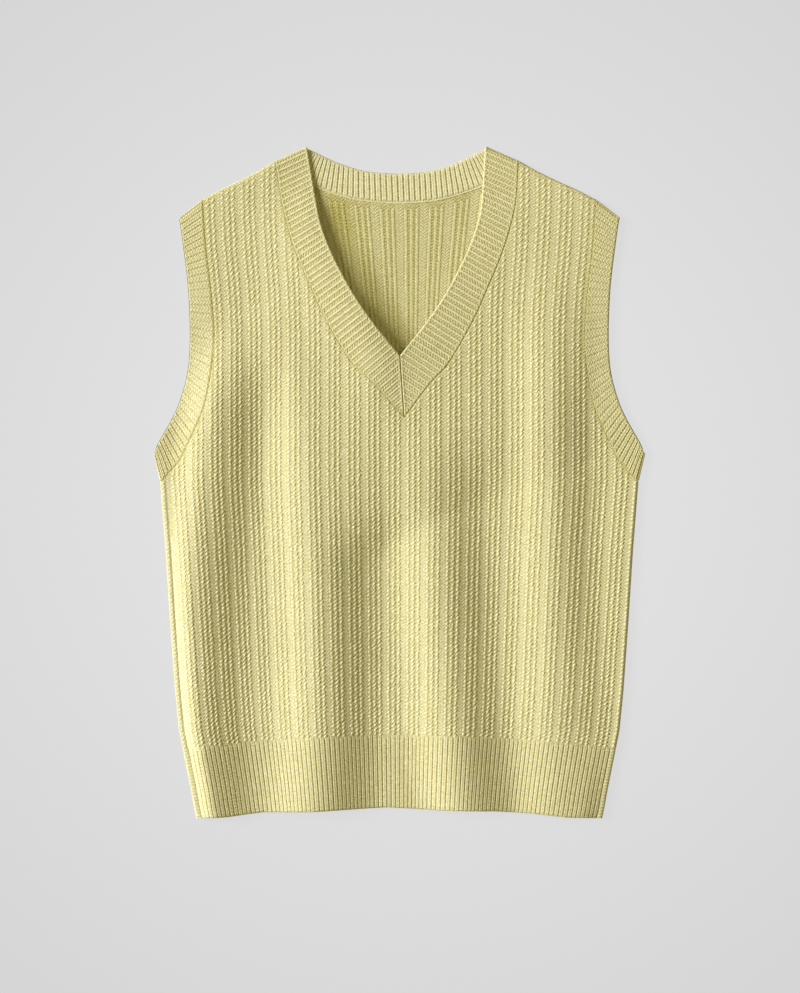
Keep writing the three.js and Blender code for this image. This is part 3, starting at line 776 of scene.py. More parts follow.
@dataclass
class FrontPanel:
    """The front's cloth with its raised columns, its shoulders turned over to the back."""

    step: float = 1.32
    ridge: float = 0.12
    low_rows: int = 69
    high_rows: int = 24
    roll_turns: tuple[float, ...] = (90, 72, 54, 36, 18, 0)

    def surface(self, x: Array, up: Array) -> Array:
        """Height of the cloth's upper side: flat, lifted, rounded off at the shoulder, sunk at seams."""
        fall = ROLL - np.clip(PLAN.shoulder_margin(x, up), 0, ROLL)
        roll = ROLL - np.sqrt(ROLL**2 - fall**2)
        dip = seam_dip(PLAN.neck_margin(x, up), 0.25) + seam_dip(PLAN.arm_margin(x, up), 0.1)
        return FRONT_TOP + PLAN.lift(x, up) - roll - dip

    def inside(self, x: Array, up: Array) -> Array:
        """How far within reach of the front's stitches a place is."""
        side = np.where(up < UNDERARM_UP + 3, PLAN.side_half(up) - LIP - SEAM - np.abs(x), CLEAR)
        seams = np.minimum(PLAN.neck_margin(x, up) - 0.4, PLAN.arm_margin(x, up) - 0.2)
        return np.minimum(np.minimum(side, seams), PLAN.shoulder_margin(x, up))

    @staticmethod
    def x_at(across: Array, up: Array) -> Array:
        """Place across of a knit column at a height, kept clear of the armhole's seam."""
        x = across * PLAN.spread(up)
        limit = np.where(up > ARM_SEAM[0][1], across_at(up, PLAN.arm) - BAND_GAP, OPEN)
        return np.sign(x) * np.minimum(np.abs(x), limit)

    def patch(self, across: Array, up: Array, up_inner: Array, z_inner: Array) -> Patch:
        """The grid of the cloth at given columns and heights."""
        x = self.x_at(across, up)
        column = PLAN.pattern_column(x, up)
        ridge = column_ridge(column) * smoothstep((PLAN.shoulder_margin(x, up) + 1) / 4)
        outer = stacked(x, up, self.surface(x, up) + self.ridge * ridge)
        inner = stacked(self.x_at(across, up_inner), up_inner, z_inner)
        knit = stacked(column - GROUP_CENTRE - GROUP_PITCH / 2, up)
        return Patch(outer, inner, knit, body_relief_shade(column))

    def top(self, columns: Array, gap: float, inset: float) -> Array:
        """Height at which each column comes this near the neck's seam or the shoulder's fold."""
        return first_crossing(
            lambda x, up: np.minimum(PLAN.neck_margin(x, up) - gap, PLAN.shoulder_margin(x, up) - inset),
            lambda ups: self.x_at(columns, ups),
        )

    def cloth(self) -> MeshData:
        """The whole wall.

        Rows share out each column's height from the welt to the neck or shoulder; two outer grids end at
        the armhole's foot and meet the middle one point for point. At the shoulders the rows go on round
        the fold and end in a lip under the back.
        """
        columns = np.linspace(-CHEST_HALF, CHEST_HALF, 2 * int(CHEST_HALF / self.step) + 1)
        low = PLAN.welt_top(columns * PLAN.spread(FRONT_JOIN_UP)) + WELT_GAP
        flat, edge = self.top(columns, BAND_GAP + ROLL, ROLL), self.top(columns, BAND_GAP, 0.02)
        between = np.linspace(0.014, 0.985, self.low_rows)
        lower = np.concatenate([[0, 0.002], between, [0.993, 1.0]])[:, None]
        upper = np.linspace(0, 1, self.high_rows)[1:, None]
        rows = split_rows(columns, low, flat, lower, upper)
        turns = np.radians(self.roll_turns)[1:, None]
        slope = (edge - flat) / ROLL
        round_up = edge - slope * ROLL * (1 - np.cos(turns))
        up = np.concatenate([rows, round_up])
        shoulder = PLAN.shoulder_margin(self.x_at(columns, edge), edge) < 0.1
        inner_round = np.where(shoulder, edge - slope * (ROLL - INNER_ROLL * np.cos(turns)), round_up)
        up_inner = np.concatenate([rows, inner_round])
        z_inner = FRONT_UNDER + PLAN.lift(self.x_at(columns, up_inner), up_inner)
        turned = np.where(shoulder, MID + INNER_ROLL * np.sin(turns), z_inner[-len(turns):])
        z_inner[-len(turns):] = turned
        middle = self.patch(columns, up, up_inner, z_inner)
        turned_over = [np.flatnonzero(side & shoulder) for side in (columns < 0, columns > 0)]
        lips = [self.shoulder_lip(middle, columns, which, edge, slope) for which in turned_over]
        return layer([middle, *lips, *(self.outer_patch(side, lower) for side in (-1, 1))])

    def shoulder_lip(self, middle: Patch, columns: Array, which: Array, edge: Array, slope: Array) -> Patch:
        """The shoulder's fold from its outermost line round to the lip's end under the back."""
        across, edge, slope = columns[which], edge[which], slope[which]
        turns = np.radians(np.linspace(0, -90, 6))[:, None]
        reach = np.array([3.5, 4.5, LIP])[:, None]
        out = np.concatenate([ROLL * (1 - np.cos(turns)), reach])
        inside = np.concatenate([ROLL - INNER_ROLL * np.cos(turns), reach])
        z_out = np.concatenate([MID + ROLL * np.sin(turns), np.zeros((3, 1))])
        z_in = np.concatenate([MID + INNER_ROLL * np.sin(turns), np.full((3, 1), WALL)])
        up, up_in = (edge - slope * distance for distance in (out, inside))
        outer = stacked(self.x_at(across, up), up, z_out)
        inner = stacked(self.x_at(across, up_in), up_in, z_in)
        outer[0], inner[0] = middle.outer[-1, which], middle.inner[-1, which]
        return Patch(outer, inner, stacked(across, 2 * edge - up), np.full(up.shape, 0.6))

    def outer_patch(self, side: int, lower: Array) -> Patch:
        """The grid between the side seam and the middle grid, up to the armhole's foot."""
        count = int((BODY_HALF - CHEST_HALF) / self.step) + 1
        across = side * np.linspace(CHEST_HALF, BODY_HALF - SEAM, count)
        low = PLAN.welt_top(across * PLAN.spread(FRONT_JOIN_UP)) + WELT_GAP
        high = first_crossing(PLAN.arm_margin, lambda ups: across * PLAN.spread(ups))
        high[0] = CHEST_UP
        up = low + (high - low) * lower
        return self.patch(across, up, up, FRONT_UNDER + PLAN.lift(self.x_at(across, up), up))

    def build(self, finish: bpy.types.Material) -> None:
        """Makes the cloth and one piece for each kind of raised column."""
        cloth = place("front_panel_cloth", self.cloth(), Slot.BODY, finish)
        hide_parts("front_panel")
        for number, column in enumerate(Column):
            grains = column_grains(column, self.inside, 11 + number, GrainShape()).mesh(self.surface)
            name = f"front_stitches_{column.name.lower()}"
            place(name, grains, Slot.BODY, finish, crisp=False)


# The back


@dataclass
class BackPanel:
    """The back's cloth, outer side down, turned up round each side edge onto the front's edge."""

    step: float = 1.65
    low_rows: int = 44
    high_rows: int = 16
    groove: float = 0.9
    ridge: float = 0.35
    lip_rise: float = 0.2

    def edge_columns(self) -> tuple[Array, Array, Array, Array]:
        """Columns round a side edge, from the flat cloth to the lip's end.

        The fold is half a turn about a line a roll's radius inside the outline: the outer side at the
        roll's radius, the inner side at half the gap between the layers.

        Returns:
            Distances in from the outline and heights, of the outer side and then of the inner.
        """
        turns = np.radians(np.linspace(-90, 90, 11))
        reach = [3.2, 4.0, 4.8, LIP + 0.25]
        out = np.concatenate([[4.5, 3.5], ROLL * (1 - np.cos(turns)), reach])
        inside = np.concatenate([[4.5, 3.5], ROLL - INNER_ROLL * np.cos(turns), reach])
        raised = np.array([0.5, 0.9, 0.6, 0.0]) * self.lip_rise
        z_out = np.concatenate([[0.6, 0.3], MID + ROLL * np.sin(turns), FRONT_TOP + raised])
        z_in = np.concatenate([[WALL] * 2, MID + INNER_ROLL * np.sin(turns), [FRONT_UNDER] * 4])
        return out, z_out, inside, z_in

    def underside(self, x: Array, up: Array) -> Array:
        """Height of the wall's outer side, from which the stitches hang."""
        return np.full(np.broadcast(x, up).shape, self.groove)

    def inside(self, x: Array, up: Array) -> Array:
        """How far within reach of the back's stitches a place is."""
        side = np.where(up < UNDERARM_UP + 3, PLAN.side_half(up) - LIP - 1 - np.abs(x), CLEAR)
        seams = np.minimum(PLAN.back_neck_margin(x, up) - 0.5, PLAN.arm_margin(x, up) - 0.5)
        return np.minimum(np.minimum(side, seams), PLAN.shoulder_margin(x, up) - LIP - 2.5)

    def cloth(self) -> MeshData:
        """The whole wall: a middle grid to the neck and the shoulders, and one round each side edge."""
        columns = np.linspace(-CHEST_HALF, CHEST_HALF, 2 * int(CHEST_HALF / self.step) + 1)
        low = PLAN.welt_top(columns * PLAN.spread(FRONT_JOIN_UP)) + SEAM / 2
        high = first_crossing(
            lambda x, up: np.minimum(
                PLAN.back_neck_margin(x, up) - SEAM, PLAN.shoulder_margin(x, up) - LIP - SEAM
            ),
            lambda ups: FrontPanel.x_at(columns, ups),
        )
        lower = np.linspace(0, 1, self.low_rows)[:, None]
        upper = np.linspace(0, 1, self.high_rows)[1:, None]
        up = split_rows(columns, low, high, lower, upper)
        x = FrontPanel.x_at(columns, up)
        bottom = self.groove - self.ridge * column_ridge(columns)
        middle = self.patch(columns, up, x, bottom, x, WALL + PLAN.back_bow(x, up))
        return layer([middle, *(self.side_patch(side, lower) for side in (-1, 1))])

    def patch(self, across: Array, up: Array, x: Array, z: Array, x_in: Array, z_in: Array) -> Patch:
        """A grid of the back from its columns, heights and both sides' places.

        Its map is counted from the middle of a plain strip of its inside, where the small stitches turn.
        """
        strip = (x - INNER_CENTRE) / inner_pitch(up) * INNER_PITCH - INNER_PITCH / 2
        away = np.abs((strip + INNER_PITCH / 2) % INNER_PITCH - INNER_PITCH / 2)
        # The inside's relief shade: darker in the groups of ridges, lighter on the plain strips, level by
        # the neck's seam
        plain = 0.18 + 0.48 * smoothstep((INNER_PITCH / 2 - away - 7) / 1.2)
        plain = 0.48 + (plain - 0.48) * smoothstep((PLAN.back_neck_margin(x, up) - 4.5) / 2)
        # Painted shadow of the V's left edge on the inside
        plain = plain * (1 - PLAN.painted_neck_shade(x, up))
        relief = np.broadcast_to(body_relief_shade(across), up.shape)
        return Patch(stacked(x, up, z), stacked(x_in, up, z_in), stacked(strip, up), relief, plain)

    def side_patch(self, side: int, lower: Array) -> Patch:
        """The grid from the middle one round the side edge to the lip's end on the front."""
        flat = np.linspace(CHEST_HALF, BODY_HALF, int((BODY_HALF - CHEST_HALF) / self.step) + 1)
        out, z_out, inside, z_in = self.edge_columns()
        base = side * np.concatenate([flat, np.full(len(out), BODY_HALF)])
        past = side * np.concatenate([np.zeros(len(flat)), LIP - out])
        past_in = side * np.concatenate([np.zeros(len(flat)), LIP - inside])
        z = np.concatenate([self.groove - self.ridge * column_ridge(side * flat), z_out])
        z_inner = np.concatenate([np.full(len(flat), WALL), z_in])
        low = PLAN.welt_top(base * PLAN.spread(BACK_JOIN_UP) + past) + SEAM / 2
        high = first_crossing(PLAN.arm_margin, lambda ups: base * PLAN.spread(ups) + past)
        high[0] = CHEST_UP
        up = low + (high - low) * lower
        x, x_in = (base * PLAN.spread(up) + more for more in (past, past_in))
        x[:, : len(flat)] = x_in[:, : len(flat)] = FrontPanel.x_at(base, up)[:, : len(flat)]
        across = base + side * np.concatenate([np.zeros(len(flat)), 1 + np.arange(len(out))])
        return self.patch(across, up, x, z, x_in, z_inner)

    def lip_grains(self) -> Grains:
        """One column of soft grains up each side's lip."""
        rng = np.random.default_rng(31)
        rows = np.arange(PLAN.welt_top(214.0) + 2, UNDERARM_UP - 2, ROW_PITCH)
        up = np.concatenate([rows, rows]) + rng.normal(0, 0.2, 2 * len(rows))
        side = np.repeat([-1.0, 1.0], len(rows))
        x = side * (PLAN.side_half(up) - 3.3)
        uneven = 1 + rng.normal(0, 0.06, len(up))
        turn = np.radians(np.where(side < 0, 66, 60) + rng.normal(0, 5, len(up)))
        return Grains(x, up, turn, 2.4 * uneven, 1.6 * uneven, 0.4 * uneven, GrainShape())

    def build(self, finish: bpy.types.Material, outside: bpy.types.Material) -> None:
        """Makes the cloth, the stitches under it and on its lips, and the ridges inside the neck."""
        cloth = place("back_panel_cloth", self.cloth(), Slot.BACK, finish)
        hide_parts("back_panel")
        flat_grain = GrainShape(sides=5, rings=((0.95, -0.3), (0.8, 0.6)))
        under = [
            column_grains(column, self.inside, 21 + number, flat_grain, size=0.5)
            for number, column in enumerate(Column)
        ]
        hung = MeshData.joined([grains.mesh(self.underside, down=True) for grains in under])
        stitches = place("back_stitches", hung, Slot.BODY, outside, crisp=False)
        lip = self.lip_grains().mesh(lambda x, up: np.full(x.shape, FRONT_TOP + self.lip_rise * 0.4))
        lips = place("side_edge_stitches", lip, Slot.BODY, outside, crisp=False)
        ridges = place("back_inner_ridges", InnerRidges().mesh(), Slot.BACK, finish)


def inner_pitch(up: Array) -> Array:
    """Width of a group of the inside's ridges, which fans out towards the neck."""
    return np.clip(21 + (up - 528.5) * 0.0467, 18.6, 25.5)


@dataclass
class InnerRidges:
    """Groups of three soft ridges up the inside of the back, where the neck shows it."""

    ridges: tuple[tuple[float, float], ...] = ((-5.2, 0.42), (0.0, 0.32), (5.2, 0.42))
    half_width: float = 1.7
    low: float = 385.0
    reach: float = 106.0

    def mesh(self) -> MeshData:
        """All ridges as one mesh: each is a low rounded bar whose height beats once a row of stitches."""
        groups = range(-5, 5)
        places = [(group + offset / INNER_PITCH, rise) for group in groups for offset, rise in self.ridges]
        kept = [(at, rise) for at, rise in places if abs(INNER_CENTRE + at * 24) < self.reach]
        return MeshData.joined([self.bar(at, rise) for at, rise in kept])

    def bar(self, at: float, rise: float) -> MeshData:
        """One ridge, from under the front to the seam of the neck.

        Args:
            at: Its place, in groups from the middle one.
            rise: Its height.
        """
        high = float(up_at(abs(INNER_CENTRE + at * 24.5), PLAN.back_neck)) - 6.5
        up = np.linspace(self.low, high, 110)[:, None]
        across = np.linspace(-1, 1, 6)[None, :]
        beat = 0.84 + 0.16 * np.cos(2 * np.pi * up / 3.1)
        arch = np.sqrt(np.maximum(1 - across**2, 0))
        x = INNER_CENTRE + at * inner_pitch(up) + self.half_width * across * (0.9 + 0.1 * beat)
        level = WALL + PLAN.back_bow(x, up)
        outer, inner = stacked(x, up, level + rise * arch * beat), stacked(x, up, level - 0.4)
        # Painted shade at each ridge's foot, lighter on its top, and the painted shadow of the V's left
        # edge
        tone = (0.56 + 0.16 * arch) * (1 - PLAN.painted_neck_shade(x, up))
        return layer([Patch(outer, inner, stacked(across, up), tone)])


# The welts


@dataclass
class Welts:
    """The ribbed hem, front and back."""

    ribs: int = 95
    per_rib: int = 9
    rise: float = 0.62
    middle_up: float = 42.0
    rows: tuple[float, ...] = (0, 0.004, 0.012, 0.022, 0.06, 0.14, 0.26, 0.38, 0.5, 0.62, 0.74, 0.85,
                               0.925, 0.95, 0.97, 0.985, 1.0)
    back_rows: tuple[float, ...] = (0, 0.012, 0.03, 0.2, 0.4, 0.6, 0.8, 0.95, 1.0)
    # Where ribs gather on the folds' steep sides or part on their crests: middle, width and ribs
    gathers: tuple[tuple[float, float, float], ...] = (
        (-112, 13, 0.5), (-47, 10, 0.4), (16, 9, 0.4), (76, 10, 0.4),
        (-75, 14, -0.4), (48, 16, -0.4), (160, 16, -0.4), (118, 12, 0.2),
    )

    @staticmethod
    def half(up: Array) -> Array:
        """Half width of the front's welt."""
        return PLAN.side_half(up) - LIP - SEAM

    def crowding(self, across: Array) -> Array:
        """Ribs gained up to a place across by the gathers."""
        return sum(share * np.tanh((across - place) / width) for place, width, share in self.gathers)

    def phase(self, across: Array, reach: float) -> Array:
        """The rib's number at a place across, even ribs and gathers together, fixed at both ends."""
        first, last = self.crowding(np.array([-reach, reach]))
        share = (across + reach) / (2 * reach)
        return share * (self.ribs - (last - first)) + self.crowding(across) - first

    def front(self) -> MeshData:
        """The front's welt: ribs up from the hem, a rounded hem edge and a sunk join at its top."""
        reach = float(self.half(self.middle_up))
        across = np.linspace(-reach, reach, self.ribs * self.per_rib + 1)
        low = PLAN.hem_up(across * (self.half(10.0) / reach))
        high = PLAN.welt_top(across * self.half(FRONT_JOIN_UP) / reach) - WELT_GAP
        up = low + (high - low) * np.array(self.rows)[:, None]
        x = across / reach * self.half(up)
        phase = self.phase(across, reach)
        rib = single_rib(phase)
        below_join = high - up - 1.2 - 1.2 * np.sin(7.3 * np.floor(phase))
        from_hem = smoothstep((up - low) / 1.6)
        raised = self.rise * rib * (from_hem * (0.5 + 0.5 * smoothstep(below_join / 2.5)))
        rounded = rounding(up - low, 1.2)
        lift = PLAN.lift(x, up)
        dip = seam_dip(self.half(up) - np.abs(x), 0.3)
        outer = stacked(x, up, FRONT_TOP + lift + raised - rounded - dip)
        inner = stacked(x, up, FRONT_UNDER + lift + rounded)
        # Painted shade in the rib's grooves and on the hem's rounded edge, made even towards the join
        firm = smoothstep(below_join / 2)
        tone = ((0.05 + 0.77 * rib) * firm + 0.6 * (1 - firm)) * (0.5 + 0.5 * from_hem)
        return layer([Patch(outer, inner, stacked(phase, up), tone)])

    def back(self) -> MeshData:
        """The back's welt: ribs on its underside, turned up round each side edge like the back."""
        out, z_out, inside, z_in = BackPanel().edge_columns()
        flat = np.linspace(-1, 1, self.ribs * 6 + 1)
        ones = np.ones(len(out))
        base = np.concatenate([-ones, flat, ones])
        past = np.concatenate([-(LIP - out[::-1]), 0 * flat, LIP - out])
        past_in = np.concatenate([-(LIP - inside[::-1]), 0 * flat, LIP - inside])
        rib = single_rib(flat * self.ribs / 2)
        fade = smoothstep((1 - np.abs(flat)) / 0.02)
        bottom = (1 - rib) * 0.8 * fade + 0.05
        z = np.concatenate([z_out[::-1], bottom, z_out])
        z_inner = np.concatenate([z_in[::-1], np.full(len(flat), WALL), z_in])
        low = PLAN.hem_up(base * (PLAN.side_half(5.0) - LIP) + past)
        high = PLAN.welt_top(base * (PLAN.side_half(BACK_JOIN_UP) - LIP) + past) - SEAM / 2
        up = low + (high - low) * np.array(self.back_rows)[:, None]
        half = PLAN.side_half(up) - LIP
        turned = np.linspace(0, 3, len(out))
        number = np.concatenate([turned - 3, (flat + 1) * self.ribs / 2, self.ribs + turned])
        # Painted shade in the rib's grooves
        tone = np.concatenate([0.7 * ones, 0.1 + 0.9 * rib, 0.7 * ones]) + 0 * up
        outer, inner = stacked(base * half + past, up, z), stacked(base * half + past_in, up, z_inner)
        return layer([Patch(outer, inner, stacked(number, up), tone, 0.5)])

    def build(self, finish: bpy.types.Material) -> None:
        """Makes both welts."""
        front = place("front_welt_rib", self.front(), Slot.RIB, finish)
        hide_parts("front_welt")
        back = place("back_welt_rib", self.back(), Slot.RIB, finish)
        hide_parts("back_welt")


# The bands


@dataclass
class BandPath:
    """Where a band runs: its seam and free edge, the way out at a fold, its turn and its rib's number."""

    seam: Array
    edge: Array
    out: Array
    turn: Array
    phase: Array
    run: Array

    @staticmethod
    def joined(parts: list[BandPath]) -> BandPath:
        """Several stretches as one."""
        return BandPath(*(np.concatenate(each) for each in zip(*(vars(part).values() for part in parts))))

    def part(self, which: slice) -> BandPath:
        """Some of its points, or all of them from the other end."""
        return BandPath(*(each[which] for each in vars(self).values()))

    def way_out(self, along: Array, turn: float = 6.0, least: float = 0.3) -> Array:
        """The way each point stands out at a fold: straight at the seam, then square to the band.

        Args:
            along: Distances from the seam.
            turn: Distance over which the way turns square.
            least: Least share of the straight way that the square one has.
        """
        steep = np.abs(self.out[:, 1]) > np.abs(self.out[:, 0])
        axis = np.where(steep[:, None], [0.0, 1.0], [1.0, 0.0])
        shared = (self.out * axis).sum(axis=1, keepdims=True)
        straight = np.where(shared < 0, self.out, axis / np.maximum(shared, least))
        share = smoothstep(along / turn)[..., None]
        return self.out[None] * share + straight[None] * (1 - share)


def fold_stretch(seam: Array, edge: Array, side: int, turns: Array, phase: float) -> BandPath:
    """A band's fold, one rib wide: it turns about the line from its seam to its free edge."""
    line = (edge - seam) / np.linalg.norm(edge - seam)
    out = np.array([line[1], -line[0]])
    out = out if np.sign(out[0]) == side else -out
    count = len(turns)
    share = np.linspace(0, 1, count)
    seams, edges, outs = (np.tile(each, (count, 1)) for each in (seam, edge, out))
    return BandPath(seams, edges, outs, np.radians(turns), phase + share, FOLD_RUN * share)


@dataclass
class BandKnit:
    """How a band is knitted: its ribs' shape, their height above and below, and its rounded edges."""

    rib: Callable[[Array], Array]
    rise: float = 1.0
    sink: float = 0.8
    inner_rise: float = 0.0
    selvedge: float = 0.4
    slump: float = 0.0
    tone: float = 1.0
    # Least share of the yarn's colour in the rib's grooves: how dark their painted shade is
    floor: float = 0.05
    seam_round: float = 0.4
    rows: tuple[float, ...] = (0, 0.012, 0.03, 0.055, 0.09, 0.14, 0.25, 0.4, 0.55, 0.7,
                               0.82, 0.88, 0.92, 0.955, 0.98, 0.994, 1.0)

    def layer(self, path: BandPath) -> MeshData:
        """The band as a closed wall.

        Across, each row is a share of the way from the seam to the free edge. A point stands off the plane
        between the vest's layers by its radius, straight up on the front, outwards at a fold and down on
        the back. The radius is half the gap inside, and the roll's radius and the rib's height outside.
        """
        w = np.array(self.rows)[:, None]
        width = np.linalg.norm(path.edge - path.seam, axis=1)
        near = np.minimum(w, 1 - w) * width
        free = (w > 0.5).astype(float)
        rounded = rounding(near, 1.1) * np.maximum(self.seam_round, free)
        up_share, flat_share = np.sin(path.turn), np.cos(path.turn)
        above, below = np.clip(up_share, 0, 1), np.clip(-up_share, 0, 1)
        rib = self.rib(path.phase)
        fade = smoothstep((near - 0.9) / 1.6)
        cord = np.exp(-(((near - 1.3) / 0.8) ** 2)) * smoothstep(width / 8) * (0.6 + 0.4 * free)
        raised = (self.rise * (rib - 0.5) * fade + self.selvedge * cord) * (above + 0.6 * flat_share)
        sunk = self.slump * w + self.sink * (1 - rib) * fade * below
        outside = ROLL - rounded + raised - sunk
        inside = INNER_ROLL + rounded - self.inner_rise * rib * fade * below
        plan = path.seam[None] + (path.edge - path.seam)[None] * w[..., None]
        out = path.way_out(w * width)
        lifted = PLAN.lift(plan[..., 0], plan[..., 1]) * above
        outer, inner = (
            stacked(*np.moveaxis(plan + out * (flat_share * radius)[..., None], -1, 0),
                    MID + up_share * radius + lifted)
            for radius in (outside, inside)
        )
        # Painted shade in the rib's grooves, less of it on the cord and along the free edge
        relief = np.maximum(self.floor + (1 - self.floor) * rib * fade, 0.9 * cord)
        relief = np.maximum(relief, 0.8 * free * (1 - smoothstep(near / 1.5)))
        # Painted crease shade along the seam
        shown = relief * np.maximum(0.75 + 0.25 * smoothstep(near / 0.8), free) * self.tone
        return layer([Patch(outer, inner, stacked(path.run, w * width), shown, shown)])


def along(seam: Spline, edges: Array, share: Array, turn: float, phase: Array) -> BandPath:
    """A flat stretch of a band from shares of its seam's length to places on its free edge."""
    count = len(share)
    turns = np.full(count, math.radians(turn))
    return BandPath(seam.at(share), edges, np.zeros((count, 2)), turns, phase, share * seam.length)


@dataclass
class Armband:
    """The ribbed band round one armhole."""

    band: Band
    per_rib: int = 12

    def lines(self) -> tuple[Spline, Spline]:
        """The seam and the free edge on this side of the vest."""
        flip = np.array([self.band.value, 1.0])
        return Spline(np.array(ARM_SEAM) * flip), Spline(np.array(ARM_EDGE) * flip)

    @staticmethod
    def rib_number(share: Array) -> Array:
        """Ribs counted up the armhole: close by the underarm, wide halfway up, closer at the shoulder."""
        density = 0.111 + 0.075 * (1 - smoothstep(share / 0.24)) + 0.03 * smoothstep((share - 0.6) / 0.3)
        total = np.concatenate([[0.0], np.cumsum((density[1:] + density[:-1]) / 2)])
        return total / total[-1] * ARM_RIBS

    def path(self) -> BandPath:
        """The whole ring: up the front, over the shoulder, down the back and round the underarm."""
        seam, edge = self.lines()
        side = self.band.value
        share = np.linspace(0, 1, ARM_RIBS * self.per_rib + 1)
        phase = self.rib_number(share)
        last = 2 * ARM_RIBS + 1
        front = along(seam, edge.at(share), share, 90, phase)
        over = fold_stretch(seam.end(1.0), edge.end(1.0), side, FOLD_TURNS, ARM_RIBS)
        back = along(seam, edge.at(share[::-1]), share[::-1], -90, last - phase[::-1])
        under = fold_stretch(seam.end(0.0), edge.end(0.0), side, FOLD_TURNS[::-1], last)
        return BandPath.joined([front, over, back, under, front.part(slice(1))])

    def build(self, finish: bpy.types.Material) -> None:
        """Makes the band."""
        name = f"armband_{self.band.name.lower()}"
        slump = 0.9 - 0.3 * self.band.value
        knit = BandKnit(
            broad_rib, rise=0.75, sink=0.6, selvedge=0.25, slump=slump, tone=0.72, seam_round=0.12,
        )
        piece = place(f"{name}_rib", knit.layer(self.path()), Slot.RIB, finish)
        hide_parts(name)


@dataclass
class Neckband:
    """The ribbed band round the neck, mitred at the point of the V."""

    back_ribs: int = 23
    per_rib: int = 10

    def side(self, side: int) -> list[BandPath]:
        """One side from the mitre to the shoulder, its fold, and its half of the back."""
        seam, edge = self.line(NECK_SEAM, side), self.line(NECK_EDGE, side)
        mitre = MITRE_RUN / seam.length
        share = np.linspace(0.006, 1, NECK_RIBS * self.per_rib + 1)
        gap = np.array([side * SEAM / 2, 0.0])
        start, tip = seam.end(0.0) + gap, edge.end(0.0) + gap
        on_mitre = start + (tip - start) * np.clip(share / mitre, 0, 1)[:, None]
        past = edge.at(np.clip((share - mitre) / (1 - mitre), 0, 1)) + gap * (1 - share)[:, None]
        edges = np.where((share < mitre)[:, None], on_mitre, past)
        front = along(seam, edges, share, 90, share * NECK_RIBS)
        fold = fold_stretch(front.seam[-1], front.edge[-1], side, FOLD_TURNS, NECK_RIBS)
        seam, edge = self.line(BACK_NECK_SEAM, side), self.line(BACK_NECK_EDGE, side)
        share = np.linspace(0, 1, self.back_ribs * self.per_rib + 1)
        phase = NECK_RIBS + 1 + share * self.back_ribs
        return [front, fold, along(seam, self.upright(seam, edge, share), share, -90, phase)]

    @staticmethod
    def line(rows: Array | tuple, side: int = 1) -> Spline:
        """One of the neck's lines on a side, moved with the neck's middle."""
        points = np.array(rows, float)
        return Spline(np.column_stack([side * points[:, 0] + PLAN.neck_shift(points[:, 1]), points[:, 1]]))

    @staticmethod
    def upright(seam: Spline, edge: Spline, share: Array) -> Array:
        """Ends of the back's ribs on the free edge: upright in the middle, leaning towards a shoulder."""
        half = np.abs(seam.at(share)[:, 0] - seam.end(1.0)[0])
        tried = np.linspace(1, 0, 400)
        across = np.abs(edge.at(tried)[:, 0] - edge.end(1.0)[0])
        lean = across[-1] / half[0] - 1
        return edge.at(np.interp(half * (1 + lean * (half / half[0]) ** 2), across, tried))

    def build(self, finish: bpy.types.Material) -> None:
        """Makes the band and the fine ridge where it is linked to the back."""
        left, right = self.side(-1), self.side(1)
        right[-1] = right[-1].part(slice(-1))
        path = BandPath.joined([*left, *(stretch.part(slice(None, None, -1)) for stretch in right[::-1])])
        knit = BandKnit(neck_rib, rise=0.7, inner_rise=0.6, floor=0.2)
        piece = place("neckband_rib", knit.layer(path), Slot.RIB, finish)
        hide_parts("neckband")
        link = place("back_neck_linking", self.linking(), Slot.BACK, finish)

    def linking(self) -> MeshData:
        """A fine cord of linking stitches along the seam, on the inside of the back's neck."""
        rows = np.array(BACK_NECK_SEAM, float)
        x, up = self.line(np.concatenate([rows * [-1, 1], rows[-2::-1]])).at(np.linspace(0.1, 0.9, 240)).T
        across = np.linspace(-1, 1, 7)[:, None]
        arch = np.sqrt(1 - across**2) + 0 * x
        outer = stacked(x, up + 0.9 * across, WALL + 0.1 + 0.55 * arch)
        inner = outer * [1, 1, 0] + [0, 0, WALL - 0.3]
        # Painted shade at the cord's sides, lighter on its top
        return layer([Patch(outer, inner, stacked(across, x), 0.6 + 0.3 * arch)])


# Finishes


class Nodes:
    """Adds and links the nodes of one tree."""

    def __init__(self, tree: bpy.types.NodeTree) -> None:
        """Keeps the tree."""
        self.tree = tree

    def add(self, kind: str, inputs: dict | None = None, **settings: object) -> bpy.types.Node:
        """A node of a kind with its settings; an input is a value or the socket that feeds it."""
        node = self.tree.nodes.new(kind)
        for name, value in settings.items():
            setattr(node, name, value)
        for key, value in (inputs or {}).items():
            if isinstance(value, bpy.types.NodeSocket):
                self.tree.links.new(value, node.inputs[key])
            else:
                node.inputs[key].default_value = value
        return node

    def math(self, operation: str, *values: object) -> bpy.types.NodeSocket:
        """The result of a sum with one to three values."""
        return self.add("ShaderNodeMath", dict(enumerate(values)), operation=operation).outputs[0]

    def mix(self, share: object, low: object, high: object) -> bpy.types.NodeSocket:
        """A colour between two by a share."""
        return self.add("ShaderNodeMix", {0: share, 6: low, 7: high}, data_type="RGBA").outputs[2]


def new_material(name: str) -> tuple[bpy.types.Material, Nodes]:
    """A material and its empty tree."""
    material = bpy.data.materials.new(name)
    material.use_nodes = True
    material.node_tree.nodes.clear()
    return material, Nodes(material.node_tree)


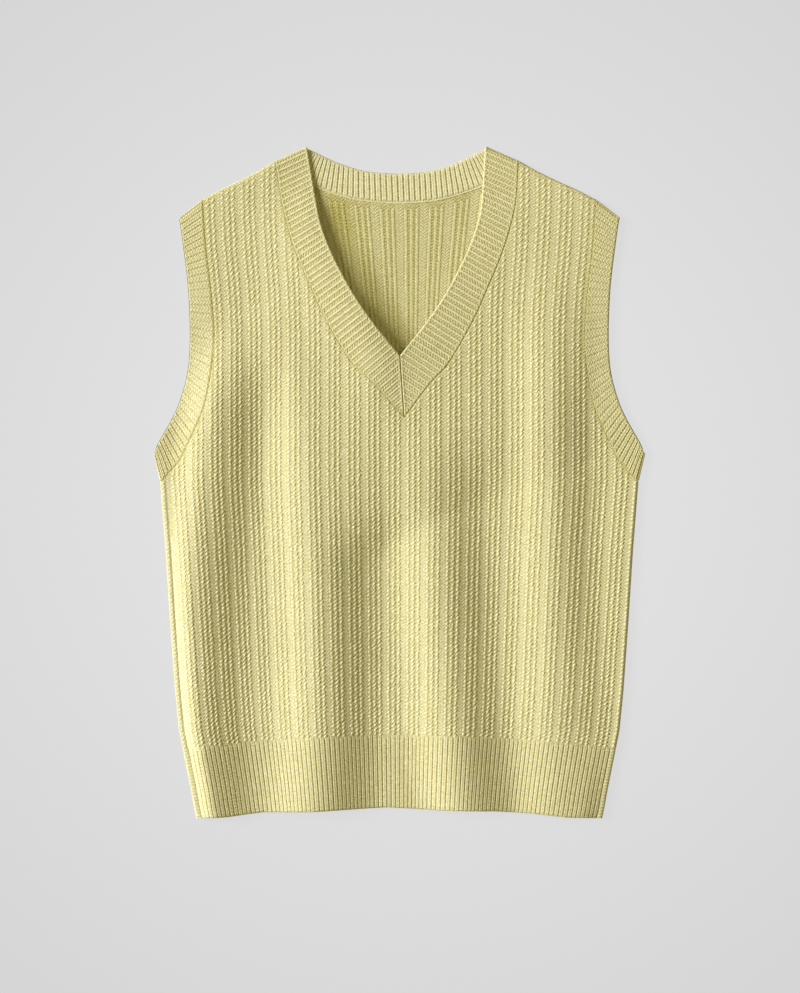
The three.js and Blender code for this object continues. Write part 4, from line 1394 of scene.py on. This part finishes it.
class Effects:
    """Node groups that the yarns share."""

    def __init__(self) -> None:
        """Builds each group once."""
        self.hatch = self.build_hatch()
        self.fibre = self.build_fibre()

    @staticmethod
    def group(name: str, inputs: dict[str, tuple[str, float]], outputs: tuple[str, ...]) -> Nodes:
        """A new group with its sockets, and its nodes' tree."""
        tree = bpy.data.node_groups.new(name, "ShaderNodeTree")
        for socket, (kind, value) in inputs.items():
            made = tree.interface.new_socket(socket, in_out="INPUT", socket_type=kind)
            if kind == "NodeSocketFloat":
                made.default_value = value
        for socket in outputs:
            tree.interface.new_socket(socket, in_out="OUTPUT", socket_type="NodeSocketFloat")
        return Nodes(tree)

    def build_hatch(self) -> bpy.types.NodeTree:
        """Small V stitches: a wave along the wale whose phase leans away from the wale's middle."""
        nodes = self.group(
            "knit_hatch",
            {"Vector": ("NodeSocketVector", 0), "Wale": ("NodeSocketFloat", 0.002),
             "Course": ("NodeSocketFloat", 0.002), "Slant": ("NodeSocketFloat", 2.0)},
            ("Height",),
        )
        given = nodes.add("NodeGroupInput").outputs
        parts = nodes.add("ShaderNodeSeparateXYZ", {"Vector": given["Vector"]}).outputs
        wale = nodes.math("DIVIDE", parts["X"], given["Wale"])
        leg = nodes.math("PINGPONG", wale, 0.5)
        course = nodes.math("DIVIDE", parts["Y"], given["Course"])
        leaning = nodes.math("MULTIPLY", leg, given["Slant"])
        phase = nodes.math("MULTIPLY", nodes.math("SUBTRACT", course, leaning), 2 * math.pi)
        wave = nodes.math("MULTIPLY_ADD", nodes.math("SINE", phase), 0.5, 0.5)
        body = nodes.math("SINE", nodes.math("MULTIPLY", leg, 2 * math.pi))
        height = nodes.math("MULTIPLY", wave, nodes.math("MULTIPLY_ADD", body, 0.4, 0.6))
        nodes.add("NodeGroupOutput", {"Height": height})
        return nodes.tree

    def build_fibre(self) -> bpy.types.NodeTree:
        """The yarn's fuzz: fine noise for its height, and broad noise for its tone."""
        nodes = self.group(
            "yarn_fibre",
            {"Vector": ("NodeSocketVector", 0), "Fineness": ("NodeSocketFloat", 620)},
            ("Height", "Tone"),
        )
        given = nodes.add("NodeGroupInput").outputs
        fine = nodes.add("ShaderNodeTexNoise", {"Vector": given["Vector"], "Scale": given["Fineness"],
                                                "Detail": 3.0, "Roughness": 0.65}).outputs[0]
        broad = nodes.add("ShaderNodeTexNoise", {"Vector": given["Vector"], "Scale": 14.0,
                                                 "Detail": 3.0}).outputs[0]
        nodes.add("NodeGroupOutput", {"Height": fine, "Tone": broad})
        return nodes.tree


@dataclass(frozen=True)
class Yarn:
    """A matte, faintly fuzzy knitting yarn."""

    name: str
    colour: tuple[float, float, float]
    # The colour of the painted shade in grooves, at grain feet and by seams
    groove: tuple[float, float, float]
    wale: float = GROUP_PITCH / 3 * MM
    course: float = 0.0031
    slant: float = 1.8
    # Strength of the small stitches' painted shade, and the relief shade below which it shows
    hatch: float = 0.25
    hatch_below: float = 0.75

    def material(self, effects: Effects) -> bpy.types.Material:
        """The finish.

        Its colour runs from the groove's painted shade to the yarn's by the piece's relief shade, darkened
        by the small stitches' painted shade and varied by the broad noise. The stitches and the fuzz also
        raise its bump.
        """
        material, nodes = new_material(self.name)
        at = nodes.add("ShaderNodeTexCoord").outputs
        relief = nodes.add("ShaderNodeAttribute", attribute_name="relief").outputs["Fac"]
        stitches = {"Vector": at["UV"], "Wale": self.wale, "Course": self.course, "Slant": self.slant}
        fibre = nodes.add("ShaderNodeGroup", {"Vector": at["Object"]}, node_tree=effects.fibre).outputs
        hatch = nodes.add("ShaderNodeGroup", stitches, node_tree=effects.hatch).outputs
        fine, broad = fibre["Height"], fibre["Tone"]
        plain = nodes.math("LESS_THAN", relief, self.hatch_below)
        small = nodes.math("MULTIPLY", hatch["Height"], plain)
        speckled = nodes.math("ADD", relief, nodes.math("MULTIPLY_ADD", fine, 1.6, -0.8))
        toned = nodes.mix(speckled, (*self.groove, 1), (*self.colour, 1))
        # Painted shade of the small stitches, on the plain parts only
        evened = nodes.math("MULTIPLY_ADD", plain, -0.35, small)
        shade = nodes.math("MULTIPLY_ADD", evened, self.hatch, 1.0)
        shade = nodes.math("MULTIPLY", shade, nodes.math("MULTIPLY_ADD", fine, 0.5, 0.75))
        shade = nodes.math("MULTIPLY", shade, nodes.math("MULTIPLY_ADD", broad, 0.12, 0.94))
        colour = nodes.add("ShaderNodeVectorMath", {0: toned, "Scale": shade}, operation="SCALE")
        height = nodes.math("MULTIPLY_ADD", fine, 0.5, small)
        bump = nodes.add("ShaderNodeBump", {"Height": height, "Strength": 0.6, "Distance": 0.0005})
        shader = nodes.add("ShaderNodeBsdfPrincipled", {
            "Base Color": colour.outputs[0], "Roughness": 0.92, "Normal": bump.outputs[0],
            "Sheen Weight": 0.25, "Sheen Roughness": 0.45, "Specular IOR Level": 0.2,
        })
        nodes.add("ShaderNodeOutputMaterial", {"Surface": shader.outputs[0]})
        return material


# The studio


@dataclass
class Studio:
    """The floor, the camera straight above and soft light from the upper left."""

    middle: tuple[float, float] = (0.0007, -0.0142)
    distance: float = 4.0
    view_height: float = 0.993
    cloth_height: float = 0.006
    floor_half: float = 12.0
    floor_up: float = -0.0004

    def floor(self) -> None:
        """A plain pale floor, with a painted pool of light round the vest: brighter there."""
        half = self.floor_half
        mesh = bpy.data.meshes.new("floor")
        square = ((-half, -half), (half, -half), (half, half), (-half, half))
        corners = [(x, y, self.floor_up) for x, y in square]
        mesh.from_pydata(corners, [], [(0, 1, 2, 3)])
        material, nodes = new_material("pale_floor")
        at = nodes.add("ShaderNodeTexCoord").outputs["Object"]
        away = nodes.add("ShaderNodeVectorMath", {0: at}, operation="LENGTH").outputs["Value"]
        # Painted pool of light: the floor is brighter near the vest
        near = {"Value": away, "From Min": 0.25, "From Max": 0.62}
        share = nodes.add("ShaderNodeMapRange", near).outputs[0]
        colour = nodes.mix(share, (0.815, 0.815, 0.823, 1), (0.727, 0.727, 0.73, 1))
        glow = nodes.add("ShaderNodeEmission", {"Color": colour, "Strength": 0.86})
        matte = nodes.add("ShaderNodeBsdfDiffuse", {"Color": (0.05, 0.05, 0.05, 1)})
        both = nodes.add("ShaderNodeAddShader", {0: glow.outputs[0], 1: matte.outputs[0]})
        nodes.add("ShaderNodeOutputMaterial", {"Surface": both.outputs[0]})
        mesh.materials.append(material)
        floor = linked("floor", mesh)

    def camera(self) -> None:
        """A long lens straight above, so that the vest's plane fills the photograph's frame."""
        data = bpy.data.cameras.new("camera")
        data.sensor_width = 36.0
        data.lens = data.sensor_width * (self.distance - self.cloth_height) / self.view_height
        camera = linked("camera", data)
        camera.location = (*self.middle, self.distance)
        bpy.context.scene.camera = camera

    def sun(self, name: str, azimuth: float, elevation: float, strength: float, softness: float) -> None:
        """A far soft light from a bearing, counted from +x towards +y, and a height, in degrees."""
        data = bpy.data.lights.new(name, "SUN")
        data.energy = strength
        data.color = (0.97, 0.985, 1.06)
        data.angle = math.radians(softness)
        linked(name, data).rotation_euler = (0.0, math.radians(90 - elevation), math.radians(azimuth))

    def light(self) -> None:
        """A low key from the upper left over an even pale sky."""
        self.sun("key", 168, 27, 4.88, 26)
        world = bpy.data.worlds.new("sky")
        world.use_nodes = True
        back = world.node_tree.nodes["Background"]
        back.inputs["Color"].default_value = (1.0, 0.92, 0.45, 1)
        back.inputs["Strength"].default_value = 0.285
        scene = bpy.context.scene
        scene.world = world
        scene.view_settings.view_transform = "Standard"

    def build(self) -> None:
        """Makes all of it."""
        self.floor()
        self.camera()
        self.light()


def main() -> None:
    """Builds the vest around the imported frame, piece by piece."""
    logging.basicConfig(level=logging.INFO, format="%(name)s: %(message)s")
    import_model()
    effects = Effects()
    # Each yarn's second colour is the painted shade in its grooves
    body = Yarn("body_yarn", (0.83, 0.787, 0.53), (0.52, 0.45, 0.13)).material(effects)
    inside = Yarn(
        "inside_yarn", (0.72, 0.67, 0.385), (0.45, 0.385, 0.1),
        wale=INNER_PITCH / 3 * MM, slant=2.0, hatch=0.3, hatch_below=0.7,
    ).material(effects)
    rib = Yarn("rib_yarn", (0.79, 0.74, 0.46), (0.46, 0.39, 0.09), hatch=0.0).material(effects)
    BackPanel().build(inside, body)
    FrontPanel().build(body)
    Welts().build(rib)
    for band in Band:
        Armband(band).build(rib)
    Neckband().build(rib)
    Studio().build()


if __name__ == "__main__":
    main()
